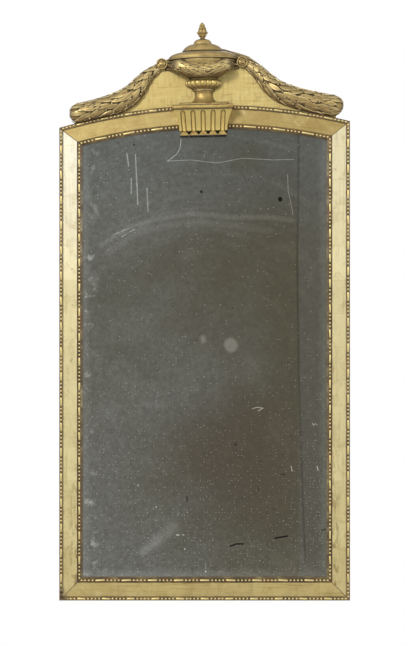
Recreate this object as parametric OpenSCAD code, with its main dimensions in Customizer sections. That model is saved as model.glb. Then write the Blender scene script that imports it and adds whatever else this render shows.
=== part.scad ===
// Pier mirror: an arched giltwood frame with bead-and-bar strings, an old plate of mirror glass,
// and a carved crest of an urn between two laurel garlands.
// Front is -Y and the wall is the plane y = 0. z = 0 is the frame's bottom edge.
// A section's u runs inwards from the frame's outer edge, and v forwards from the wall.

/* [Frame] */
// Width of the frame over its outer edges
frame_w = 660; // [600:10:720]
// Height of the arch's crown above the bottom edge
crown_h = 1124; // [1040:4:1240]
// Radius of the arch's outer edge
arch_r = 1288; // [1200:8:1600]
// Lean of the arch and crest to the left, in degrees, where the old joints have moved
lean = 1.35; // [0:0.05:1.6]

/* [Moulding] */
// Depth from the wall to the burnished flat
flat_d = 33; // [30:1:40]
// Width of the burnished flat
flat_w = 32; // [28:1:44]
// Width of the seat under the outer bead string
outer_seat_w = 8.5; // [8:0.5:12]
// Rise of the outer seat above the flat
outer_step = 2; // [0.5:0.5:4]
// Width of the seat under the bead string at the sight edge
sight_seat_w = 9; // [8:0.5:12]
// Drop of the sight seat below the flat
sight_step = 3; // [1:0.5:4]
// Width of the lip along the glass
lip_w = 3; // [2:0.5:5]
// Drop of the lip towards the glass
lip_drop = 2; // [0.5:0.5:2.5]

/* [Bead strings] */
// Diameter of a bead, and width of a bar
bead_d = 6; // [5:0.5:7.5]
// Spacing of the beads of one group
bead_pitch = 8.4; // [7.8:0.2:12]
// Beads in one group
group_beads = 4; // [2:1:5]
// Wished length of the round-ended bar between two groups
bar_l = 22; // [18:1:40]
// Diameter of the thread that joins beads and bars
thread_d = 2.2; // [1.6:0.2:3]

/* [Glass and back] */
// Thickness of the glass
glass_t = 3.5; // [3:0.5:5]
// Depth from the wall to the shoulder that the glass bears on
glass_seat_d = 24; // [22:0.5:26]
// Width of the glass rebate behind the sight edge
glass_rebate_w = 8; // [6:0.5:9]
// Play of the glass in its rebate, each side
glass_play = 1.5; // [0.5:0.25:3]
// Thickness of the tin foil behind the glass
foil_t = 0.4; // [0.3:0.1:0.8]
// Width of the backboard rebate, from the sight edge
board_rebate_w = 17; // [14:0.5:20]
// Thickness of a backboard
board_t = 8; // [6:0.5:9]
// Gap between two backboards, and round them
board_gap = 1.5; // [0.5:0.25:3]
// Length of a glazing block
block_l = 32; // [20:2:50]

/* [Crest board] */
// Thickness of the crest board
crest_t = 18; // [14:1:22]
// Thickness of the battens that carry the crest
batten_t = 11.5; // [8:0.5:13]
// Width of a batten
batten_w = 30; // [24:1:40]
// Distance of each batten from the crest's axis
batten_u = 72; // [60:1:80]
// Length of a batten above the arch
batten_up = 84; // [60:2:90]

/* [Garlands and swag] */
// Greatest width of a garland
garland_w = 50; // [40:1:54]
// Greatest height of a garland above the crest board
garland_h = 26; // [18:1:32]
// Width of a garland where it meets its ring
garland_end_w = 16; // [12:1:18]
// Distance of the left garland's outer end from the crest's axis
left_end_u = 306; // [290:1:316]
// Height of the left garland's outer end above the arch's crown
left_end_up = -16.5; // [-18:0.5:-10]
// Distance of the right garland's outer end from the crest's axis
right_end_u = 316; // [290:1:318]
// Height of the right garland's outer end above the arch's crown
right_end_up = -11; // [-18:0.5:-8]
// Height of garland and swag where they meet the ring
ring_seat_h = 8; // [6:0.5:10]
// Length of a laurel leaf
leaf_l = 26; // [20:1:36]
// Height of a leaf's tip above the next leaf
leaf_lift = 3; // [1:0.25:4]
// Width of the swag at its middle
swag_w = 25; // [20:1:32]
// Width of the swag where it meets the rings
swag_end_w = 20; // [14:1:22]
// Height of the swag above the bowl behind it
swag_h = 12; // [8:1:16]
// Height of the swag's middle above the arch
swag_low = 75.5; // [72:0.5:84]
// Distance of each ring from the crest's axis
ring_u = 93.5; // [90:0.5:98]
// How much nearer to the middle the right ring is carved
ring_shift = 5; // [0:0.5:8]
// Height of the rings above the arch
ring_up = 96; // [92:0.5:99]
// Radius of a ring, to the middle of its wire
ring_r = 11.2; // [9:0.1:12]
// Diameter of a ring's wire
ring_wire_d = 3.4; // [3:0.2:6]

/* [Urn] */
// Depth of the half-round urn as a share of its radius
relief = 0.6; // [0.45:0.01:0.7]
// Radius of the lid's rim
lid_r = 79; // [70:1:84]
// Radius of the bowl below the rim
bowl_r = 72; // [60:1:76]
// Radius of the bowl's foot ring
bowl_low_r = 31.5; // [26:0.5:36]
// Greatest radius of the gadrooned cup
cup_r = 43; // [36:1:48]
// Gadroons round the half cup
gadroons = 9; // [5:2:13]
// Depth of the valleys between gadroons
gadroon_cut = 3; // [1:0.25:4]
// Radius of the urn's neck
neck_r = 20; // [16:0.5:24]
// Radius of the foot
foot_r = 31; // [25:0.5:34]
// Greatest radius of the bud
bud_r = 13; // [10:0.5:15]
// Height of the bud above the lid
bud_h = 36.7; // [30:0.1:40]
// Radius of the bud's spigot
spigot_r = 3; // [2:0.25:3.5]

/* [Plinth and keystone] */
// How far the keystone and its moulding sit to the left of the crest's axis
key_off = 3; // [0:0.5:5]
// Half-width of the plinth's upper slab
slab_half = 57; // [48:1:62]
// Half-width of the plinth's moulding
moulding_half = 69; // [66:0.5:78]
// Half-width of the keystone at its waist
waist_half = 54; // [50:1:60]
// Radius of the keystone's hollow sides and front
hollow_r = 100; // [80:1:130]
// Depth from the wall to the keystone's waist
waist_d = 50; // [46:1:58]
// Number of flutes, and of drops under them
flutes = 5; // [3:1:7]
// Spacing of the flutes
flute_pitch = 21.5; // [14:0.5:23]
// Width of a flute
flute_w = 8.5; // [5:0.5:10]
// Splay between two flutes, in degrees, which spread upwards
flute_splay = 1.8; // [0:0.2:3]
// Length of a drop
drop_l = 10.8; // [8:0.2:16]

/* [Hanging irons] */
// Distance of each hanging iron from the frame's middle
iron_x = 150; // [120:5:180]
// Height of the eyes above the arch's crown
eye_up = 8; // [6:1:20]
// Radius of an eye's hole
eye_r = 4; // [3:0.25:5]
// Width of an iron
iron_w = 22; // [18:1:28]
// Thickness of an iron
iron_t = 3; // [2:0.5:4]

/* [Hidden] */

gilt = "#c8ad62";
burnished = "#dccb8c";
pine = "#8f6f48";
iron = "#4a4542";

fine = 360;            // facets of the great arcs
mid = 64;              // facets of turned work
small = 48;            // facets of beads and nails
glue = 0.1;            // glue line between applied pieces
wall_gap = 0.3;        // ironwork and battens lie this far in front of the wall

// Section of the frame's members
member_w = outer_seat_w + flat_w + sight_seat_w + lip_w;
outer_seat_d = flat_d + outer_step;
sight_seat_d = flat_d - sight_step;
back_w = member_w - board_rebate_w;
glass_wall = member_w - glass_rebate_w;
board_seat_d = board_t + 1;
section = [[0, 0], [back_w, 0], [back_w, board_seat_d], [glass_wall, board_seat_d],
    [glass_wall, glass_seat_d], [member_w, glass_seat_d], [member_w, sight_seat_d - lip_drop],
    [member_w - lip_w, sight_seat_d], [outer_seat_w + flat_w, sight_seat_d],
    [outer_seat_w + flat_w, flat_d], [outer_seat_w, flat_d], [outer_seat_w, outer_seat_d],
    [0, outer_seat_d]];

// Arch and corners
sight_r = arch_r - member_w;
arch_x = sight_r * sin(lean);
arch_z = crown_h - arch_r;
function arc_z(x, r) = arch_z + sqrt(r * r - (x - arch_x) * (x - arch_x));
function corner(side, u) = [side * (frame_w / 2 - u), arc_z(side * (frame_w / 2 - u), arch_r - u)];
sight_half = frame_w / 2 - member_w;
half_arc = 0.5 + asin((frame_w / 2 + abs(arch_x)) / sight_r);

// ---------------------------------------------------------------- helpers

// The crest's own axes: origin at the crown of the arch, z up the leaning axis
module crest_axes() {
    translate([arch_x, 0, arch_z])
        rotate([0, -lean, 0])
            translate([0, 0, arch_r])
                children();
}

// Turns a drawing in (x, z) into a plate from depth v0 to v1
module plate(v0, v1) {
    translate([0, -v0, 0])
        rotate([90, 0, 0])
            linear_extrude(v1 - v0)
                children();
}

// Revolves a drawing in (radius, v) about the arch's centre, from angle a0 to a1 off the crown
module arch_sweep(a0, a1) {
    translate([arch_x, 0, arch_z])
        rotate([90, 0, 0])
            rotate([0, 0, 90 - a1])
                rotate_extrude(angle = a1 - a0, $fn = fine)
                    children();
}

// A cylinder along y, from depth v0 to v1
module peg(x, z, v0, v1, r, r2) {
    translate([x, -v0, z])
        rotate([90, 0, 0])
            cylinder(h = v1 - v0, r1 = r, r2 = is_undef(r2) ? r : r2, $fn = small);
}

function bez(p, t) = pow(1 - t, 3) * p[0] + 3 * pow(1 - t, 2) * t * p[1]
    + 3 * (1 - t) * t * t * p[2] + t * t * t * p[3];
function curve(p, n) = [for (i = [0 : n]) bez(p, i / n)];
function smooth(x) = let (c = max(0, min(1, x))) c * c * (3 - 2 * c);
function frac(x) = x - floor(x);
function reversed(list) = [for (i = [len(list) - 1 : -1 : 0]) list[i]];

// A closed solid from rings of points that all have the same count
module skin(rings) {
    n = len(rings[0]);
    m = len(rings);
    polyhedron(
        points = [for (r = rings) for (p = r) p],
        faces = concat(
            [[for (i = [0 : n - 1]) i]],
            [for (j = [0 : m - 2]) for (i = [0 : n - 1]) let (k = (i + 1) % n)
                each [[j * n + i, (j + 1) * n + i, j * n + k],
                    [j * n + k, (j + 1) * n + i, (j + 1) * n + k]]],
            [[for (i = [n - 1 : -1 : 0]) (m - 1) * n + i]]));
}

// ---------------------------------------------------------------- frame members

// Keys let in across the mitres, from the back
key_w = 10;
key_t = 5;
key_l = 2 * (back_w / sqrt(2) - key_w / 2 - 5);
key_places = [for (side = [-1, 1]) for (top = [0, 1])
    let (o = top == 1 ? corner(side, 0) : [side * frame_w / 2, 0])
    let (i = top == 1 ? corner(side, back_w) : [side * (frame_w / 2 - back_w), back_w])
    [(o + i) / 2, atan2(i[1] - o[1], i[0] - o[0]) + 90]];

module key_shapes(extra, v0) {
    for (k = key_places)
        translate([k[0][0], 0, k[0][1]])
            rotate([0, -k[1], 0])
                plate(v0, wall_gap + key_t)
                    square([key_l + 2 * extra, key_w + 2 * extra], center = true);
}

module corner_keys() {
    color(pine) key_shapes(0, wall_gap);
}

module vertical_bar(side) {
    difference() {
        intersection() {
            linear_extrude(crown_h)
                polygon([for (p = section) [side * (frame_w / 2 - p[0]), -p[1]]]);
            plate(-1, outer_seat_d + 1)
                polygon([[side * frame_w / 2, 0], corner(side, 0), corner(side, member_w),
                    [side * sight_half, member_w]]);
        }
        key_shapes(glue, -1);
        nail_holes();
    }
}

module left_stile() {
    color(burnished) vertical_bar(-1);
}

module right_stile() {
    color(burnished) vertical_bar(1);
}

module bottom_rail() {
    color(burnished)
        difference() {
            intersection() {
                translate([frame_w / 2, 0, 0])
                    rotate([0, -90, 0])
                        linear_extrude(frame_w)
                            polygon([for (p = section) [p[0], -p[1]]]);
                plate(-1, outer_seat_d + 1)
                    polygon([[-frame_w / 2, 0], [frame_w / 2, 0], [sight_half, member_w],
                        [-sight_half, member_w]]);
            }
            key_shapes(glue, -1);
            nail_holes();
        }
}

// The whole ring of the arched rail's section, without its ends
module arch_ring() {
    arch_sweep(-half_arc, half_arc)
        polygon([for (p = section) [arch_r - p[0], p[1]]]);
}

// A mitre's inner end, drawn out past the sight edge
function past(side) = corner(side, member_w) + 0.4 * (corner(side, member_w) - corner(side, 0));
function above(side) = corner(side, 0) - 0.4 * (corner(side, member_w) - corner(side, 0));

module top_rail() {
    color(burnished)
        difference() {
            intersection() {
                arch_ring();
                plate(-1, outer_seat_d + 1)
                    polygon([past(-1), above(-1), [-frame_w / 2, crown_h + member_w],
                        [frame_w / 2, crown_h + member_w], above(1), past(1)]);
            }
            key_shapes(glue, -1);
            nail_holes();
            batten_shapes(glue, -1);
            screw_holes();
            for (side = [-1, 1]) iron_plate(side, glue, -1);
            iron_screw_holes();
        }
}

// ---------------------------------------------------------------- bead-and-bar strings

thread_r = thread_d / 2;
bead_r = bead_d / 2;
bead_space = bead_pitch - bead_d;
group_l = (group_beads - 1) * bead_pitch + bead_d;

// Bars that fit in a run, the length that each then has, and the distance from group to group
function bars(run) = max(1, round((run - group_l) / (group_l + 2 * bead_space + bar_l)));
function bar_fit(run) = (run - group_l) / bars(run) - group_l - 2 * bead_space;
function stride(run) = group_l + 2 * bead_space + bar_fit(run);

module group_outline(z) {
    for (b = [0 : group_beads - 1])
        translate([0, z + bead_r + b * bead_pitch]) circle(bead_r, $fn = small);
}

module bar_outline(z, l) {
    translate([-bead_r, z + bead_r]) square([bead_d, l - bead_d]);
    for (e = [bead_r, l - bead_r])
        translate([0, z + e]) circle(bead_r, $fn = small);
}

// Half-round string along +z from the origin, its flat at the plane y = 0
module straight_string(l, groups, bar_count, step, bar) {
    rotate([0, 0, 180])
        rotate_extrude(angle = 180, $fn = small)
            intersection() {
                union() {
                    square([thread_r, l]);
                    for (g = [0 : groups - 1]) group_outline(g * step);
                    for (g = [0 : 1 : bar_count - 1]) bar_outline(g * step + group_l + bead_space, bar);
                }
                square([bead_d, l]);
            }
}

// The same along the arch at radius r, from angle a0 to a1 off the crown, its flat at depth v.
// It is planted in short straight lengths, each a group and its bar, which meet at the thread.
module arched_string(r, a0, a1, v) {
    run = (a1 - a0) * PI / 180 * r;
    for (g = [0 : bars(run)]) {
        last = g == bars(run);
        l = (last ? group_l : stride(run)) - glue;
        a = a0 + (g * stride(run) + l / 2) * 180 / PI / r;
        translate([arch_x + r * sin(a), -v, arch_z + r * cos(a)])
            rotate([0, 90 + a, 0])
                translate([0, 0, -l / 2])
                    straight_string(l, 1, last ? 0 : 1, 0, bar_fit(run));
    }
}

module whole_string(run) {
    straight_string(run, bars(run) + 1, bars(run), stride(run), bar_fit(run));
}

// Each string stops short of the mitres by this much along its middle
string_end = bead_d * 0.35;

module upright_beads(side, u, v) {
    low = u + string_end;
    high = corner(side, u)[1] - string_end;
    color(gilt)
        translate([side * (frame_w / 2 - u), -v, low])
            whole_string(high - low);
}

module level_beads(u, v) {
    run = frame_w - 2 * (u + string_end);
    color(gilt)
        translate([-run / 2, -v, u])
            rotate([0, 90, 0])
                whole_string(run);
}

// The two runs on the arched rail stop at the keystone, whose half-width is given
module arched_beads(u, v, key_half) {
    r = arch_r - u;
    end = string_end * 180 / PI / r;
    function reach(side) = asin((corner(side, u)[0] - arch_x) / r);
    function stop(side) = -lean + asin((side * (key_half + 1) - key_off) / r);
    color(gilt) {
        arched_string(r, reach(-1) + end, stop(-1), v);
        arched_string(r, stop(1), reach(1) - end, v);
    }
}

outer_u = outer_seat_w / 2;
sight_u = outer_seat_w + flat_w + sight_seat_w / 2;

module outer_bead_left() { upright_beads(-1, outer_u, outer_seat_d); }
module outer_bead_right() { upright_beads(1, outer_u, outer_seat_d); }
module outer_bead_bottom() { level_beads(outer_u, outer_seat_d); }
module outer_bead_top() { arched_beads(outer_u, outer_seat_d, moulding_half); }
module sight_bead_left() { upright_beads(-1, sight_u, sight_seat_d); }
module sight_bead_right() { upright_beads(1, sight_u, sight_seat_d); }
module sight_bead_bottom() { level_beads(sight_u, sight_seat_d); }
module sight_bead_top() { arched_beads(sight_u, sight_seat_d, key_half_at(sight_u) + 1); }

// ---------------------------------------------------------------- glass and back

// The sight opening's outline, grown by g all round
module opening(g) {
    intersection() {
        translate([-sight_half - g, member_w - g])
            square([2 * (sight_half + g), crown_h]);
        translate([arch_x, arch_z]) circle(sight_r + g, $fn = fine);
    }
}

glass_grow = glass_rebate_w - glass_play;
glass_back_d = glass_seat_d - glue - glass_t;

module mirror_glass() {
    color("#6b6c66") plate(glass_back_d, glass_back_d + glass_t) opening(glass_grow);
}

module tin_foil() {
    color("#8d8f90") plate(glass_back_d - foil_t, glass_back_d) opening(glass_grow - 2);
}

block_w = glass_rebate_w + 2;
block_rows = [0.14, 0.38, 0.62, 0.86];

module block(x, z, turn) {
    translate([x, 0, z])
        rotate([0, turn, 0])
            plate(board_seat_d, glass_back_d - foil_t - glue)
                polygon([[0, -block_l / 2], [block_w, -block_l / 2 + 3], [block_w, block_l / 2 - 3],
                    [0, block_l / 2]]);
}

module glazing_blocks() {
    edge = glass_rebate_w - glue;
    color(pine) {
        for (f = block_rows) {
            block(-sight_half - edge, member_w + f * (corner(-1, member_w)[1] - member_w), 0);
            block(sight_half + edge, member_w + f * (corner(1, member_w)[1] - member_w), 180);
        }
        for (f = [-0.5, 0.5]) {
            block(f * sight_half, member_w - edge, -90);
            translate([arch_x, 0, arch_z])
                rotate([0, f * 2 * half_arc / 2 - lean, 0])
                    block(0, sight_r + edge, 90);
        }
    }
}

// Three boards across the opening, the top one cut to the arch
board_low = member_w - board_rebate_w + board_gap;
board_top = arch_z + sight_r + board_rebate_w - board_gap;
board_h = (board_top - board_low) / 3;

module backboard(i) {
    color(pine)
        difference() {
            plate(board_seat_d - board_t, board_seat_d)
                intersection() {
                    opening(board_rebate_w - board_gap);
                    translate([-frame_w, board_low + i * board_h + board_gap / 2])
                        square([2 * frame_w, board_h - board_gap]);
                }
            nail_holes();
        }
}

module backboard_lower() { backboard(0); }
module backboard_middle() { backboard(1); }
module backboard_upper() { backboard(2); }

// Nails go through the boards' edges into the rebate's shoulder
nail_r = 1;
nail_head_r = 2.3;
nail_l = 18;
nail_u = member_w - (board_rebate_w + glass_rebate_w) / 2;
side_nails = [for (side = [-1, 1]) for (i = [0 : 2]) for (f = i == 2 ? [0.12, 0.4, 0.64] : [0.12, 0.5, 0.88])
    [side * (frame_w / 2 - nail_u), board_low + (i + f) * board_h]];
bottom_nails = [for (f = [-0.7, 0, 0.7]) [f * sight_half, nail_u]];
top_nails = [for (f = [-0.75, -0.45, 0.45, 0.75]) let (a = f * half_arc - lean)
    [arch_x + (arch_r - nail_u) * sin(a), arch_z + (arch_r - nail_u) * cos(a)]];
nails = concat(side_nails, bottom_nails, top_nails);

module nail_holes() {
    for (n = nails) peg(n[0], n[1], -1, nail_l + 1, nail_r + 0.05);
}

module backboard_nails() {
    color(iron)
        for (n = nails) {
            peg(n[0], n[1], wall_gap, nail_l, nail_r);
            peg(n[0], n[1], wall_gap, board_seat_d - board_t, nail_head_r);
        }
}

// ---------------------------------------------------------------- crest board and battens

crest_back_d = wall_gap + batten_t;
crest_front_d = crest_back_d + crest_t;

// Middle lines of the garlands, left and right, from the ring to the outer end on the crest's
// axes, drawn as if both were on the right
garland_ends = [[left_end_u, left_end_up], [right_end_u, right_end_up]];
start_low = [6, 0];    // of the line's start under the ring's middle, left and right
function ring_at(side) = ring_u - (side > 0 ? ring_shift : 0);
garland_lines = [for (g = [0, 1]) let (end = garland_ends[g])
    [[ring_at(g) + 3.5, ring_up - start_low[g]], [ring_u + 84.5, ring_up - 50], [110, end[1] + 36], end]];
line_steps = 60;
line_tables = [for (line = garland_lines) let (points = curve(line, line_steps))
    [for (i = 0, s = 0; i <= line_steps;
        s = s + (i < line_steps ? norm(points[i + 1] - points[i]) : 0), i = i + 1) [s, i / line_steps]]];
function line_l(g) = line_tables[g][line_steps][0];
function line_at(g, s) = bez(garland_lines[g], lookup(s, line_tables[g]));
function line_dir(g, s) = let (d = line_at(g, min(line_l(g), s + 1)) - line_at(g, max(0, s - 1))) d / norm(d);
function line_out(g, s) = let (d = line_dir(g, s)) [-d[1], d[0]];
function garland_half(g, s) = garland_end_w / 2
    + (garland_w - garland_end_w) / 2 * sin(90 * smooth(s / line_l(g) * 1.5 + 0.08));

// The board stands out beyond the garlands by the ring, more so on the right, and hides behind
// their leaves further out
board_rims = [2, 7.5];
board_hidden = 1;
function edge_at(g, s) = line_at(g, s) + line_out(g, s)
    * (garland_half(g, s) + board_rims[g] * (1 - smooth(s / line_l(g) * 3)) - board_hidden);

// Half of the board's upper outline: up behind the lid, then along the ring and the garland
behind_lid = [[0, 147], [13, 147], [19, 139], [27, 135], [36, 129]];
lid_to_ring = [
    [[44, 122], [lid_r - 19, 115], [ring_u - 6, ring_up + 9], [ring_u + 3, ring_up + 8.5]],
    [[49, 127.5], [lid_r - 16, 123], [ring_u - 16, ring_up + 22.8], [ring_u - 3, ring_up + 18.7],
        [ring_u + 10.5, ring_up + 13.4]]];
function board_edge(g) = concat(behind_lid, lid_to_ring[g],
    [for (f = [0.09 : 0.06 : 0.94]) edge_at(g, f * line_l(g))], [[0.94 * garland_ends[g][0], -60]]);

module crest_outline() {
    difference() {
        polygon(concat(board_edge(1), [for (p = reversed(board_edge(0))) [-p[0], p[1]]]));
        translate([0, -arch_r]) circle(arch_r + glue, $fn = fine);
    }
}

module crest_board() {
    color(burnished)
        difference() {
            crest_axes() plate(crest_back_d, crest_front_d) crest_outline();
            screw_holes();
        }
}

// Battens on the crest's back, let into the arched rail
batten_down = min(back_w, 34) - 2;

module batten_shapes(extra, v0) {
    crest_axes()
        for (side = [-1, 1])
            plate(v0, crest_back_d + (extra > 0 ? extra : -glue))
                translate([side * batten_u - batten_w / 2 - extra, -batten_down - extra])
                    square([batten_w + 2 * extra, batten_down + batten_up + extra]);
}

module crest_battens() {
    color(pine)
        difference() {
            batten_shapes(0, wall_gap);
            screw_holes();
        }
}

screw_r = 2;
screw_head_r = 4;
screw_head_t = 2.5;
screw_end_d = crest_front_d - 5;
screw_places = [for (side = [-1, 1]) each [
    [side * batten_u, -batten_down + 8], [side * batten_u - 7, -8],
    [side * batten_u + 7, 0.25 * batten_up], [side * batten_u - 7, 0.55 * batten_up],
    [side * batten_u, batten_up - 10]]];

// A countersunk screw with play p round it, its head flush at depth v0
module screw(x, z, v0, v1, p) {
    peg(x, z, v0 - (p > 0 ? 1 : 0), v1 + p, screw_r + p);
    peg(x, z, v0 - (p > 0 ? 0.01 : 0), v0 + screw_head_t, screw_head_r + p, screw_r + p);
}

module screw_holes() {
    crest_axes()
        for (s = screw_places) screw(s[0], s[1], wall_gap, screw_end_d, 0.1);
}

module batten_screws() {
    color(iron)
        crest_axes()
            for (s = screw_places) screw(s[0], s[1], wall_gap, screw_end_d, 0);
}

// ---------------------------------------------------------------- garlands, swag and rings

ring_gap = 7.5;        // from the ring's middle to where garland and swag start
front_pts = 15;
rows_per_leaf = 7;
leaves_across = 5;

// Height of the laid leaves at distance s along and angle a across, from 0 to 1
function leaf(s, a) =
    let (row = floor(s / leaf_l), f = frac(s / leaf_l))
    let (c = frac(a / 180 * leaves_across + (row % 2) / 2) * 2 - 1)
    smooth(f * 1.6) * (1 - 0.8 * c * c) * (f > 0.93 ? 0.3 : 1);

// Rounds the garland's outer end
round_l = 24;
function end_round(g, s) = let (x = max(0, (s - line_l(g) + round_l) / round_l)) sqrt(max(0.02, 1 - x * x));

// Keeps a point of the garland clear of the arch
function off_arch(p) = let (c = [p[0], p[1] + arch_r], r = norm(c))
    r < arch_r + 3 * glue ? c / r * (arch_r + 3 * glue) - [0, arch_r] : p;

function garland_ring(g, s) =
    let (c = line_at(g, s), n = line_out(g, s), e = end_round(g, s))
    let (h = ring_seat_h + (garland_h - ring_seat_h) * smooth(s / line_l(g) * 2.2))
    let (fade = smooth((s - 6) / 20))
    [for (i = [0 : front_pts - 1])
        let (a = 180 * i / (front_pts - 1))
        let (k = (1 + leaf_lift / h * (leaf(s, a) - 0.5) * fade) * e)
        let (p = off_arch(c + n * cos(a) * garland_half(g, s) * (i == 0 || i == front_pts - 1 ? e : k)))
        [p[0], -crest_front_d - glue - h * sin(a) * k, p[1]]];

garland_start = ring_gap;

module garland(g) {
    span = line_l(g) - garland_start;
    steps = floor(span / leaf_l * rows_per_leaf);
    color(gilt)
        crest_axes()
            mirror([1 - g, 0, 0])
                skin([for (i = [0 : steps]) garland_ring(g, garland_start + span * i / steps)]);
}

module left_garland() { garland(0); }
module right_garland() { garland(1); }

// Profile of the bowl's side, as [height, radius]
rim_up = 103;
bowl_low_up = 62;
bowl_side = curve([[bowl_low_r, bowl_low_up], [bowl_low_r + 14, bowl_low_up + 8], [bowl_r, rim_up - 20],
    [bowl_r, rim_up]], 10);
bowl_table = [for (p = bowl_side) [p[1], p[0]]];

// Depth of what lies behind the swag, with the bowl grown by g
function behind(u, w, g) = let (r = lookup(w, bowl_table) + g)
    crest_front_d + relief * sqrt(max(0, r * r - u * u));

swag_end_u = ring_u - ring_gap;
function swag_u(x) = x * (ring_at(x > 0 ? 1 : 0) - ring_gap);
swag_steps = 44;
under_ring = (ring_r + ring_wire_d / 2 - ring_gap + 1) / swag_end_u;
swag_hang = 3.6;       // of its ends under the rings' middles, clear of the lid
swag_bow = ring_up - swag_hang - swag_low;
function swag_half(x) = swag_end_w / 2 + (swag_w - swag_end_w) / 2 * smooth((1 - abs(x)) * 1.8);

// The cross-section at x from -1 to 1 along the swag
function swag_ring(x) =
    let (c = [swag_u(x), swag_low + swag_bow * (1 - cos(180 * x)) / 2])
    let (d = [1, swag_bow * PI / 2 * sin(180 * x) / swag_end_u], n = [-d[1], d[0]] / norm(d))
    let (in = max(0, 1 - abs(x) - under_ring))
    let (h = ring_seat_h + (swag_h - ring_seat_h) * smooth(in * 3))
    let (base = crest_front_d + relief * (lookup(c[1], bowl_table) + 3)
        * sqrt(max(0, 1 - pow(c[0] / (lookup(c[1], bowl_table) + 22), 2))) * smooth(in * 4))
    let (fade = smooth(in * 6))
    let (front = [for (i = [0 : 10]) let (a = 180 * i / 10, k = 1 + 0.3 * (leaf(abs(x) * swag_end_u + 3, a) - 0.5) * fade)
        let (p = c + n * swag_half(x) * cos(a))
        [p[0], -3 * glue - max(base + h * sin(a) * k, behind(p[0], p[1], 2) + 2 * sin(a)), p[1]]])
    let (rear = [for (i = [10 : -1 : 0]) let (a = 180 * i / 10, p = c + n * swag_half(x) * cos(a))
        [p[0], -min(behind(p[0], p[1], 2) + glue, -front[i][1] - 2 * glue), p[1]]])
    concat(front, rear);

module centre_swag() {
    color(gilt)
        crest_axes()
            skin([for (i = [0 : swag_steps]) swag_ring(1 - 2 * i / swag_steps)]);
}

module ring(side) {
    color(gilt)
        crest_axes()
            translate([side * ring_at(side), -crest_front_d - ring_seat_h - ring_wire_d / 2 - 5 * glue, ring_up])
                rotate([90, 0, 0])
                    rotate_extrude($fn = mid)
                        translate([ring_r, 0]) circle(d = ring_wire_d, $fn = small);
}

module left_ring() { ring(-1); }
module right_ring() { ring(1); }

// ---------------------------------------------------------------- urn

// Half-round work against the crest board: a drawing in (radius, height), turned and flattened
module half_turned() {
    translate([0, -crest_front_d - glue, 0])
        scale([1, relief, 1])
            rotate([0, 0, 180])
                rotate_extrude(angle = 180, $fn = mid)
                    children();
}

lid_top = 151.5;
finial_d = crest_front_d + 5.4;
spigot_l = 14;

module finial() {
    tips_up = lid_top + 14.4;
    bud = concat([[0, lid_top - spigot_l], [spigot_r, lid_top - spigot_l], [spigot_r, lid_top + glue],
            [5.6, lid_top + glue], [5.8, lid_top + 1], [4.8, lid_top + 2.2]],
        curve([[5, lid_top + 2.8], [bud_r - 3, lid_top + 4.5], [bud_r - 5, lid_top + 9], [bud_r - 1, tips_up - 2]], 4),
        [[bud_r, tips_up], [bud_r - 2.8, tips_up + 2]],
        curve([[bud_r - 3.2, tips_up + 4], [bud_r - 4, lid_top + 0.7 * bud_h], [4, lid_top + 0.88 * bud_h],
            [0, lid_top + bud_h]], 6));
    color(gilt)
        crest_axes()
            translate([0, -finial_d, 0])
                rotate_extrude($fn = mid) polygon(bud);
}

tier_r = 46.5;         // radius of the lid's middle tier
cap_r = 21;            // radius of its cap
tier_up = rim_up + 18.3;
cap_up = rim_up + 36.2;

module urn_lid() {
    profile = concat([[0, rim_up + glue], [lid_r - 4.5, rim_up + glue], [lid_r - 0.5, rim_up + 0.8],
            [lid_r, rim_up + 2], [lid_r - 0.5, rim_up + 3.4], [lid_r - 1.8, rim_up + 4.2]],
        curve([[lid_r - 1.2, rim_up + 5], [lid_r - 1.5, rim_up + 9.5], [lid_r - 11, tier_up - 1.8],
            [tier_r - 1, tier_up - 0.1]], 6),
        [[tier_r - 2.8, tier_up], [tier_r - 2.8, tier_up + 1.2], [tier_r, tier_up + 1.8], [tier_r, tier_up + 3.6]],
        curve([[tier_r - 1, tier_up + 4.2], [tier_r - 3.5, tier_up + 9], [cap_r + 13, cap_up - 0.8],
            [cap_r + 2.6, cap_up]], 5),
        curve([[cap_r, cap_up + 0.6], [cap_r - 1.3, cap_up + 6.3], [cap_r - 4.3, lid_top - 1.4],
            [cap_r - 12.3, lid_top - 0.2]], 5),
        [[cap_r - 13, lid_top], [0, lid_top]]);
    color(gilt)
        crest_axes()
            difference() {
                half_turned() polygon(profile);
                translate([0, -finial_d, lid_top - spigot_l - 1])
                    cylinder(h = spigot_l + 2, r = spigot_r + glue, $fn = small);
            }
}

module urn_bowl() {
    color(gilt)
        crest_axes()
            half_turned()
                polygon(concat([[0, bowl_low_up]], bowl_side, [[0, rim_up]]));
}

// The cup's side is gadrooned: lobes that run down its round belly
cup_up = 35;
cup_side = concat([[bowl_low_r - 3, bowl_low_up - 3.5]],
    curve([[bowl_low_r + 1, bowl_low_up - 4], [cup_r + 3, bowl_low_up - 6], [cup_r + 4, cup_up + 9],
        [neck_r + 7, cup_up + 3]], 9),
    [[neck_r + 5, cup_up]]);
cup_rounds = gadroons * 8;

function lobed(r, a, share) = r - gadroon_cut * share * (1 - abs(sin(a * gadroons)));

module gadroon_cup() {
    top = [[bowl_low_r, bowl_low_up - glue], [bowl_low_r, bowl_low_up - 3]];
    rows = concat(top, cup_side);
    count = len(rows);
    color(gilt)
        crest_axes()
            skin([for (j = [0 : count - 1])
                let (share = j < 3 || j == count - 1 ? 0 : min(1, min(j - 2, count - 1 - j) / 2))
                [for (i = [0 : cup_rounds]) let (a = 180 * i / cup_rounds, r = lobed(rows[j][0], a, share))
                    [r * cos(a), -crest_front_d - glue - relief * r * sin(a), rows[j][1]]]]);
}

slab_up = 3.8;

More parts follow.
